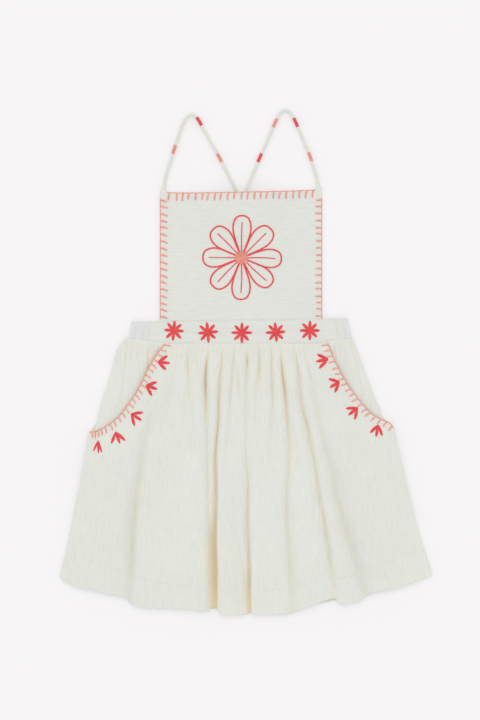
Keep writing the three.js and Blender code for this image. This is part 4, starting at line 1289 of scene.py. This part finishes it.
class DRESS_OT_flower(bpy.types.Operator):
    """Embroider the outline flower in the middle of the bib"""
    bl_idname = "dress.flower"
    bl_label = "Flower"

    def execute(self, context):
        surface = Surface.made["bib"]
        width = context.scene.dress_thread.outline_width / MM
        draw = np.random.RandomState(5)
        cx, cy = FLOWER["centre"]
        outlines, veins = [], []
        for i in range(FLOWER["petals"]):
            angle = math.pi / 4 * i + draw.uniform(-0.045, 0.045)
            length = FLOWER["length"] * draw.uniform(0.97, 1.03) * (1 - FLOWER["tall"] * math.cos(2 * angle))
            outline = petal_outline(angle, length, FLOWER["half_width"] * draw.uniform(0.94, 1.04))
            outlines.append((surface.lay(outline + (cx, cy), OUTLINE_LIFT), 1.0))
            reach = np.linspace(FLOWER["disc"] - 1.5, length * FLOWER["vein"], 20)
            bend = draw.uniform(-0.8, 0.8) * np.sin(np.linspace(0, math.pi, 20))
            line = np.stack([reach * math.cos(angle) - bend * math.sin(angle) + cx,
                             reach * math.sin(angle) + bend * math.cos(angle) + cy], -1)
            veins.append((surface.lay(line, VEIN_LIFT), 1.0))
        red = red_thread()
        stitch_row("flower_outline", outlines, red, 1.55, (3.6, width * 1.05, 1.1), 0.26, 0.06, 3)
        stitch_row("flower_veins", veins, red, 2.2, (3.4, width * 0.82, 0.9), 0.12, 0.08, 4)
        coil = np.linspace(0, 10 * math.pi, 160)
        spread = (FLOWER["disc"] - 1) * coil / coil[-1]
        bed = np.stack([cx + spread * np.cos(coil), cy + spread * np.sin(coil)], -1)
        knots = [(surface.lay(bed, OUTLINE_LIFT), 0.85)]
        for i in range(FLOWER["knots"]):
            radius = (FLOWER["disc"] - 0.9) * math.sqrt((i + 0.5) / FLOWER["knots"])
            turn = i * GOLDEN_ANGLE
            x, y = cx + radius * math.cos(turn), cy + radius * math.sin(turn)
            z = surface.height(x, y) + KNOT_LIFT + draw.uniform(-0.08, 0.08)
            way = draw.uniform(0, math.pi)
            dx, dy = 0.55 * math.cos(way), 0.55 * math.sin(way)
            knots.append(([(x - dx, y - dy, z - 0.1), (x, y, z + 0.05), (x + dx, y + dy, z - 0.1)],
                          [0.6, 0.9, 0.6]))
        sew("flower_centre", knots, salmon_thread(), 8)
        return {"FINISHED"}


# Stars on the band
STAR = {"spacing": 42.4, "petals": 8, "length": 12.9, "half_width": 1.35, "strands": 6, "strand": 0.55,
        "foot": 0.45}
STAR_ROW = (1, 86.4, 0.0004)  # X and Y of the middle star, and how the row bends up to both sides


class DRESS_OT_stars(bpy.types.Operator):
    """Embroider the row of star flowers on the front band"""
    bl_idname = "dress.stars"
    bl_label = "Stars"

    def execute(self, context):
        surface = Surface.made["band"]
        draw = np.random.RandomState(9)
        threads = []
        for k in range(-2, 3):
            cx = k * STAR["spacing"] + STAR_ROW[0]
            cy = STAR_ROW[1] + STAR_ROW[2] * cx * cx
            turn = draw.uniform(-0.06, 0.12)
            for i in range(STAR["petals"]):
                angle = turn + math.pi / 4 * i + draw.uniform(-0.05, 0.05)
                heading = (math.cos(angle), math.sin(angle))
                length = STAR["length"] * draw.uniform(0.93, 1.03)
                start = (cx + 0.4 * heading[0], cy + 0.4 * heading[1])
                threads += strands(start, heading, length - STAR["strand"], STAR, surface)
        sew("band_stars", threads, red_thread(), 6)
        return {"FINISHED"}


# Sprigs beside the pockets. Columns: x and y of the foot, heading and spread of the leaves in degrees,
# their length and how wide they are as a share of the widest
SPRIGS = [
    (-103.5, 50, -8, 38, 15, 1), (-118, 20.8, -20, 42, 14.8, 1), (-136.6, -14.5, -31, 40, 15.6, 0.95),
    (-156, -37, -73, 33, 16, 0.92), (-178, -47.8, -90, 21, 15.6, 0.6),
    (108.5, 53.6, 190, 36, 16, 1), (122.5, 25.4, 209, 40, 14.8, 1), (145.4, -7, 218, 38, 15.7, 0.95),
    (171, -28.3, 257, 36, 15.6, 0.9),
]
LEAF = {"half_width": 1.5, "strands": 6, "strand": 0.5, "foot": 0.28}


def mouth_line(side, count):
    """Points along a mouth, and the way into the skirt at each."""
    points = path_points(MOUTHS[side], count)
    way = headings(points)
    sign = 1 if side == "left" else -1
    return points, np.stack([-way[:, 1] * sign, way[:, 0] * sign], -1)


class DRESS_OT_sprigs(bpy.types.Operator):
    """Embroider the three-leaf sprigs beside the pocket mouths"""
    bl_idname = "dress.sprigs"
    bl_label = "Sprigs"

    def execute(self, context):
        surface = Surface.made["skirt_front"]
        draw = np.random.RandomState(13)
        threads = []
        for x, y, heading, spread, length, wide in SPRIGS:
            form = {**LEAF, "half_width": wide * LEAF["half_width"],
                    "strand": (0.4 + 0.6 * wide) * LEAF["strand"]}
            for share in (-1, 0, 1):
                angle = math.radians(heading + share * spread + draw.uniform(-4, 4))
                way = (math.cos(angle), math.sin(angle))
                reach = length * draw.uniform(0.94, 1.04) - form["strand"]
                threads += strands((x, y), way, reach, form, surface)
        sew("pocket_sprigs", threads, red_thread(), 6)
        return {"FINISHED"}


# Blanket stitch
EDGE_RADIUS = 0.6
EDGE_INSET = 0.5
EDGE_STEP = 1.5
CLOSER_OVER = 27  # over this last length of an edge the stitches come to stand last_spacing apart
CLOSER_REACH = 10
STRAIGHT_END = 12  # the legs nearer to an edge's end than this stand as the one that is this far from it
FIRST_LEGS = 3.2  # number of spacings over which the lean changes from first_lean
BLANKETS = {
    "top": {"spacing": 8.1, "leg": 9.2, "lean": 0.18, "bow": -0.25},
    "left": {"spacing": 8.55, "leg": 8.8, "lean": 0.3, "bow": 0.25},
    "right": {"spacing": 8.55, "leg": 7.6, "lean": 0.0, "bow": 0.1},
    "left mouth": {"spacing": 7.1, "last_spacing": 4.3, "leg": 8.0, "first_lean": -0.45, "lean": 0.2,
                   "bow": 0.4},
    "right mouth": {"spacing": 7.8, "leg": 7.8, "first_lean": -0.2, "lean": -0.28, "bow": 0.12},
}


def blanket(edge, inward, form, surface, radius, draw):
    """Edging: a thread along the edge and, at each stitch, a leg that runs in from it, leaning along the
    edge and bowed. The first legs lean by first_lean, and the last ones stand last_spacing apart."""
    spacing, leg, bow = form["spacing"], form["leg"], form["bow"]
    run, way = distances(edge), headings(edge)
    length = run[-1]
    stops, last_spacing = [0.3 * spacing], form.get("last_spacing", spacing)
    while stops[-1] < length - last_spacing:
        closer = soft((stops[-1] - length + CLOSER_OVER) / CLOSER_REACH)
        stops.append(stops[-1] + mix(spacing, last_spacing, closer))
    along = pick(np.linspace(0, length, int(length / EDGE_STEP)), run, edge)
    waved = [(x, y, surface.height(x, y) + 0.15 + 0.1 * math.sin(i * 1.1)) for i, (x, y) in enumerate(along)]
    threads = [(waved, EDGE_RADIUS)]
    shares = np.linspace(0, 1, 11)
    radii = [radius * (0.8 + 0.25 * math.sin(math.pi * min(1, 0.15 + 0.8 * t))) for t in shares]
    for stop in stops:
        stop = stop + draw.uniform(-0.08, 0.08) * spacing
        foot = pick(stop, run, edge)
        into, on = (pick(min(stop, length - STRAIGHT_END), run, table) for table in (inward, way))
        reach = leg * draw.uniform(0.88, 1.08)
        settled = float(soft(stop / (FIRST_LEGS * spacing)))
        lean = mix(form.get("first_lean", form["lean"]), form["lean"], settled)
        lean += draw.uniform(-0.1, 0.1)
        points = []
        for t in shares:
            x, y = foot + into * reach * t + on * reach * (lean * t - bow * t * (1 - t))
            points.append((x, y, surface.height(x, y) + THREAD_LIFT + LEG_CROWN * math.sin(math.pi * t)))
        threads.append((points, radii))
    return threads


class DRESS_OT_blanket(bpy.types.Operator):
    """Sew the blanket stitch round the bib and the pocket mouths"""
    bl_idname = "dress.blanket"
    bl_label = "Blanket stitch"

    def execute(self, context):
        radius = context.scene.dress_thread.blanket_width / MM / 2
        draw = np.random.RandomState(17)
        bib = Surface.made["bib"]
        top_x = np.linspace(92.5, -92.5, 80)
        top_edge = np.stack([top_x, bib_top(top_x) - EDGE_INSET], -1)
        down = np.tile((0.0, -1.0), (80, 1))
        threads = blanket(top_edge, down, BLANKETS["top"], bib, radius, draw)
        for sign, name in ((-1, "left"), (1, "right")):
            side_y = np.linspace(BIB_TOP_Y - 9, BAND_TOP_Y + 1, 80)
            edge = np.stack([np.full(80, sign * (BIB_HALF_WIDTH - EDGE_INSET)), side_y], -1)
            inward = np.tile((-sign * 1.0, 0.0), (80, 1))
            threads += blanket(edge, inward, BLANKETS[name], bib, radius, draw)
        sew("bib_blanket_stitch", threads, salmon_thread(), 8)
        skirt = Surface.made["skirt_front"]
        threads = []
        for side in ("left", "right"):
            points, inward = mouth_line(side, 120)
            edge = points + inward * EDGE_INSET
            threads += blanket(edge, inward, BLANKETS[side + " mouth"], skirt, radius * 0.82, draw)
        sew("pocket_blanket_stitch", threads, salmon_thread(), 8)
        return {"FINISHED"}


# Strap cords. The wraps of thread round each: the place of a wrap's middle, and its thread
WRAPS = {
    "left": [((-83.5, 315), "salmon"), ((-52.8, 350), "red"), ((-27, 305), "salmon")],
    "right": [((86.6, 306), "salmon"), ((69, 349), "red"), ((42, 348), "salmon"), ((23.3, 305), "red")],
}
WRAP_LENGTH = 12
WRAP_TURNS = 16
WRAP_STEPS = 14 * WRAP_TURNS
WRAP_THREAD = 0.38
WRAP_TIGHTNESS = 0.83


def tube(name, route, radius_at, sides):
    """A closed round tube along a route, with its radius given at each place and angle."""
    way = headings(route)
    across = np.cross(way, (0, 0, 1))
    across /= np.linalg.norm(across, axis=1)[:, None]
    up = np.cross(across, way)
    angles = np.linspace(0, 2 * np.pi, sides, endpoint=False)
    run = distances(route)
    wide, high = radius_at(run[:, None], angles[None, :])
    points = (route[:, None] + across[:, None] * (wide * np.cos(angles))[..., None]
              + up[:, None] * (high * np.sin(angles))[..., None])
    rings = len(route)
    faces = []
    for r in range(rings - 1):
        for i in range(sides):
            j = (i + 1) % sides
            faces.append((r * sides + i, (r + 1) * sides + i, (r + 1) * sides + j, r * sides + j))
    faces.append(tuple(range(sides)))
    faces.append(tuple(range((rings - 1) * sides, rings * sides))[::-1])
    uv = np.stack(np.broadcast_arrays(angles[None, :] * STRAP_RADIUS, run[:, None]), -1).reshape(-1, 2)
    return mesh_object(name, points.reshape(-1, 3), faces, uv)


class DRESS_OT_straps(bpy.types.Operator):
    """Lay the two cord straps with their bands of wound thread"""
    bl_idname = "dress.straps"
    bl_label = "Straps"

    def execute(self, context):
        for side in ("left", "right"):
            route = strap_route(side, 330)
            run = distances(route)
            wrapped = [run[np.linalg.norm(route[:, :2] - place, axis=1).argmin()]
                       for place, _ in WRAPS[side]]
            seed = 80 if side == "left" else 90

            def radius_at(run, angle):
                twist = 0.05 * np.sin(2 * angle + run / 2.6) + 0.035 * np.sin(3 * angle - run / 4.1)
                lump = 0.05 * lattice(run / 7 + angle * 0.3, run * 0 + 2, seed)
                near = 1 - soft(run / 13)
                tight = sum(1 - soft((np.abs(run - middle) - WRAP_LENGTH / 2) / 1.5) for middle in wrapped)
                base = STRAP_RADIUS * mix(0.97 + twist + lump, WRAP_TIGHTNESS, tight)
                return base * (1 + 0.3 * near), base * (1 - 0.08 * near)

            cord = tube("strap_" + side + "_cord", route, radius_at, 20)
            props = context.scene.dress_cloth
            material = gauze_material("crepe_cord", props.gauze, (300, 90, 1), 0.4)
            finish_piece(cord, material, ["strap_" + side])
            for number, (middle, (_, colour)) in enumerate(zip(wrapped, WRAPS[side])):
                stops = middle + WRAP_LENGTH * np.linspace(-0.5, 0.5, WRAP_STEPS)
                centre = pick(stops, run, route)
                way = headings(centre)
                across = np.cross(way, (0, 0, 1))
                up = np.cross(across, way)
                angle = np.linspace(0, 2 * np.pi * WRAP_TURNS, WRAP_STEPS)[:, None]
                reach = STRAP_RADIUS - WRAP_THREAD
                coil = centre + across * (reach * np.cos(angle)) + up * (reach * np.sin(angle))
                coil[:, 2] = np.maximum(coil[:, 2], WRAP_THREAD)
                thread = red_thread() if colour == "red" else salmon_thread()
                name = "strap_%s_wrap_%d" % (side, number + 1)
                sew(name, [(coil, WRAP_THREAD)], thread, 6)
        return {"FINISHED"}


# Machine stitching
class DRESS_OT_seams(bpy.types.Operator):
    """Sew the machine stitching of the hem and the band in the cloth's own colour"""
    bl_idname = "dress.seams"
    bl_label = "Seams"

    def execute(self, context):
        thread = thread_material("sewing_thread", context.scene.dress_cloth.gauze)
        skirt = Surface.made["skirt_front"]
        rows = grid("skirt_front")[0]
        share = 1 - HEM_DEPTH / SKIRT_LENGTH
        line = np.stack([pick(share, rows, table)[6:-6] for table in (skirt.x, skirt.y)], -1)
        hem = [(skirt.lay(path_points(line, 320), SEAM_LIFT), 1.0)]
        stitch_row("hem_stitching", hem, thread, 3.1, (2.5, 0.55, 0.5), 0.0, 0.05, 21)
        band = Surface.made["band"]
        lines = []
        for share in (0.06, 0.94):
            bx, by = band_place(np.linspace(ELASTIC_LEFT + 2, ELASTIC_RIGHT - 2, 160), share)
            lines.append((band.lay(np.stack([bx, by], -1), SEAM_LIFT), 1.0))
        stitch_row("band_stitching", lines, thread, 3.0, (2.4, 0.5, 0.5), 0.0, 0.05, 22)
        return {"FINISHED"}


# Stage
class DRESS_OT_stage(bpy.types.Operator):
    """Set the pale surface, the soft light and the camera straight above"""
    bl_idname = "dress.stage"
    bl_label = "Stage"

    def execute(self, context):
        props = context.scene.dress_stage
        scene = context.scene
        scene.view_settings.view_transform = "Standard"
        floor_mesh = bpy.data.meshes.new("floor")
        corners = [(FLOOR_REACH * i, FLOOR_REACH * j, -FLOOR_GAP)
                   for i, j in ((-1, -1), (1, -1), (1, 1), (-1, 1))]
        floor_mesh.from_pydata(corners, [], [(0, 1, 2, 3)])
        floor = placed("floor", floor_mesh)
        material, tree, shader = new_material("floor_paper", {
            "Roughness": 0.9, "Emission Color": (*props.floor, 1), "Emission Strength": props.glow})
        grain = node(tree, "ShaderNodeTexNoise", {"Scale": 6.0})
        place = node(tree, "ShaderNodeTexCoord")
        shade = node(tree, "ShaderNodeMapRange", {"To Min": 0.995, "To Max": 1.005})
        lit = [(1 - props.glow) * channel for channel in props.floor]
        tone = node(tree, "ShaderNodeHueSaturation", {"Color": (*lit, 1)})
        wire(tree, (place, "Object", grain, "Vector"), (grain, "Fac", shade, "Value"),
             (shade, 0, tone, "Value"), (tone, 0, shader, "Base Color"))
        floor_mesh.materials.append(material)
        world = bpy.data.worlds.new("studio")
        scene.world = world
        world.use_nodes = True
        back = world.node_tree.nodes["Background"]
        back.inputs["Color"].default_value = (1, 1, 1, 1)
        back.inputs["Strength"].default_value = props.sky
        light = bpy.data.lights.new("key", "SUN")
        light.angle = math.radians(KEY_WIDTH)
        light.energy = props.key
        key = placed("key", light)
        key.rotation_euler = [math.radians(angle) for angle in KEY_TURN]
        lens = bpy.data.cameras.new("camera")
        lens.sensor_width = SENSOR
        lens.lens = SENSOR * props.camera_height / (FRAME_HEIGHT * MM)
        lens.clip_end = 20
        camera = placed("camera", lens)
        camera.location = (FRAME_MIDDLE[0] * MM, FRAME_MIDDLE[1] * MM, props.camera_height)
        scene.camera = camera
        return {"FINISHED"}


class DRESS_PT_panel(bpy.types.Panel):
    """Lists the dress's pieces in the order in which they are made"""
    bl_idname = "DRESS_PT_panel"
    bl_label = "Pinafore dress"
    bl_space_type = "VIEW_3D"
    bl_region_type = "UI"
    bl_category = "Dress"

    def draw(self, context):
        scene = context.scene
        for group in (scene.dress_cloth, scene.dress_thread, scene.dress_stage):
            box = self.layout.box()
            for name in group.__annotations__:
                box.prop(group, name)
        for operator in OPERATORS:
            self.layout.operator(operator.bl_idname)


GROUPS = {"dress_cloth": DressCloth, "dress_thread": DressThread, "dress_stage": DressStage}
OPERATORS = [
    DRESS_OT_stage, DRESS_OT_straps, DRESS_OT_skirt_back, DRESS_OT_hips, DRESS_OT_skirt_front,
    DRESS_OT_band_back, DRESS_OT_band_front, DRESS_OT_bib, DRESS_OT_flower, DRESS_OT_stars,
    DRESS_OT_sprigs, DRESS_OT_blanket, DRESS_OT_seams,
]


def register():
    for item in (*GROUPS.values(), *OPERATORS, DRESS_PT_panel):
        bpy.utils.register_class(item)
    for name, group in GROUPS.items():
        setattr(bpy.types.Scene, name, bpy.props.PointerProperty(type=group))


def unregister():
    for name in GROUPS:
        delattr(bpy.types.Scene, name)
    for item in (DRESS_PT_panel, *reversed(OPERATORS), *GROUPS.values()):
        bpy.utils.unregister_class(item)


def main():
    register()
    for operator in OPERATORS:
        getattr(bpy.ops.dress, operator.bl_idname.split(".")[1])()


if __name__ == "__main__":
    main()
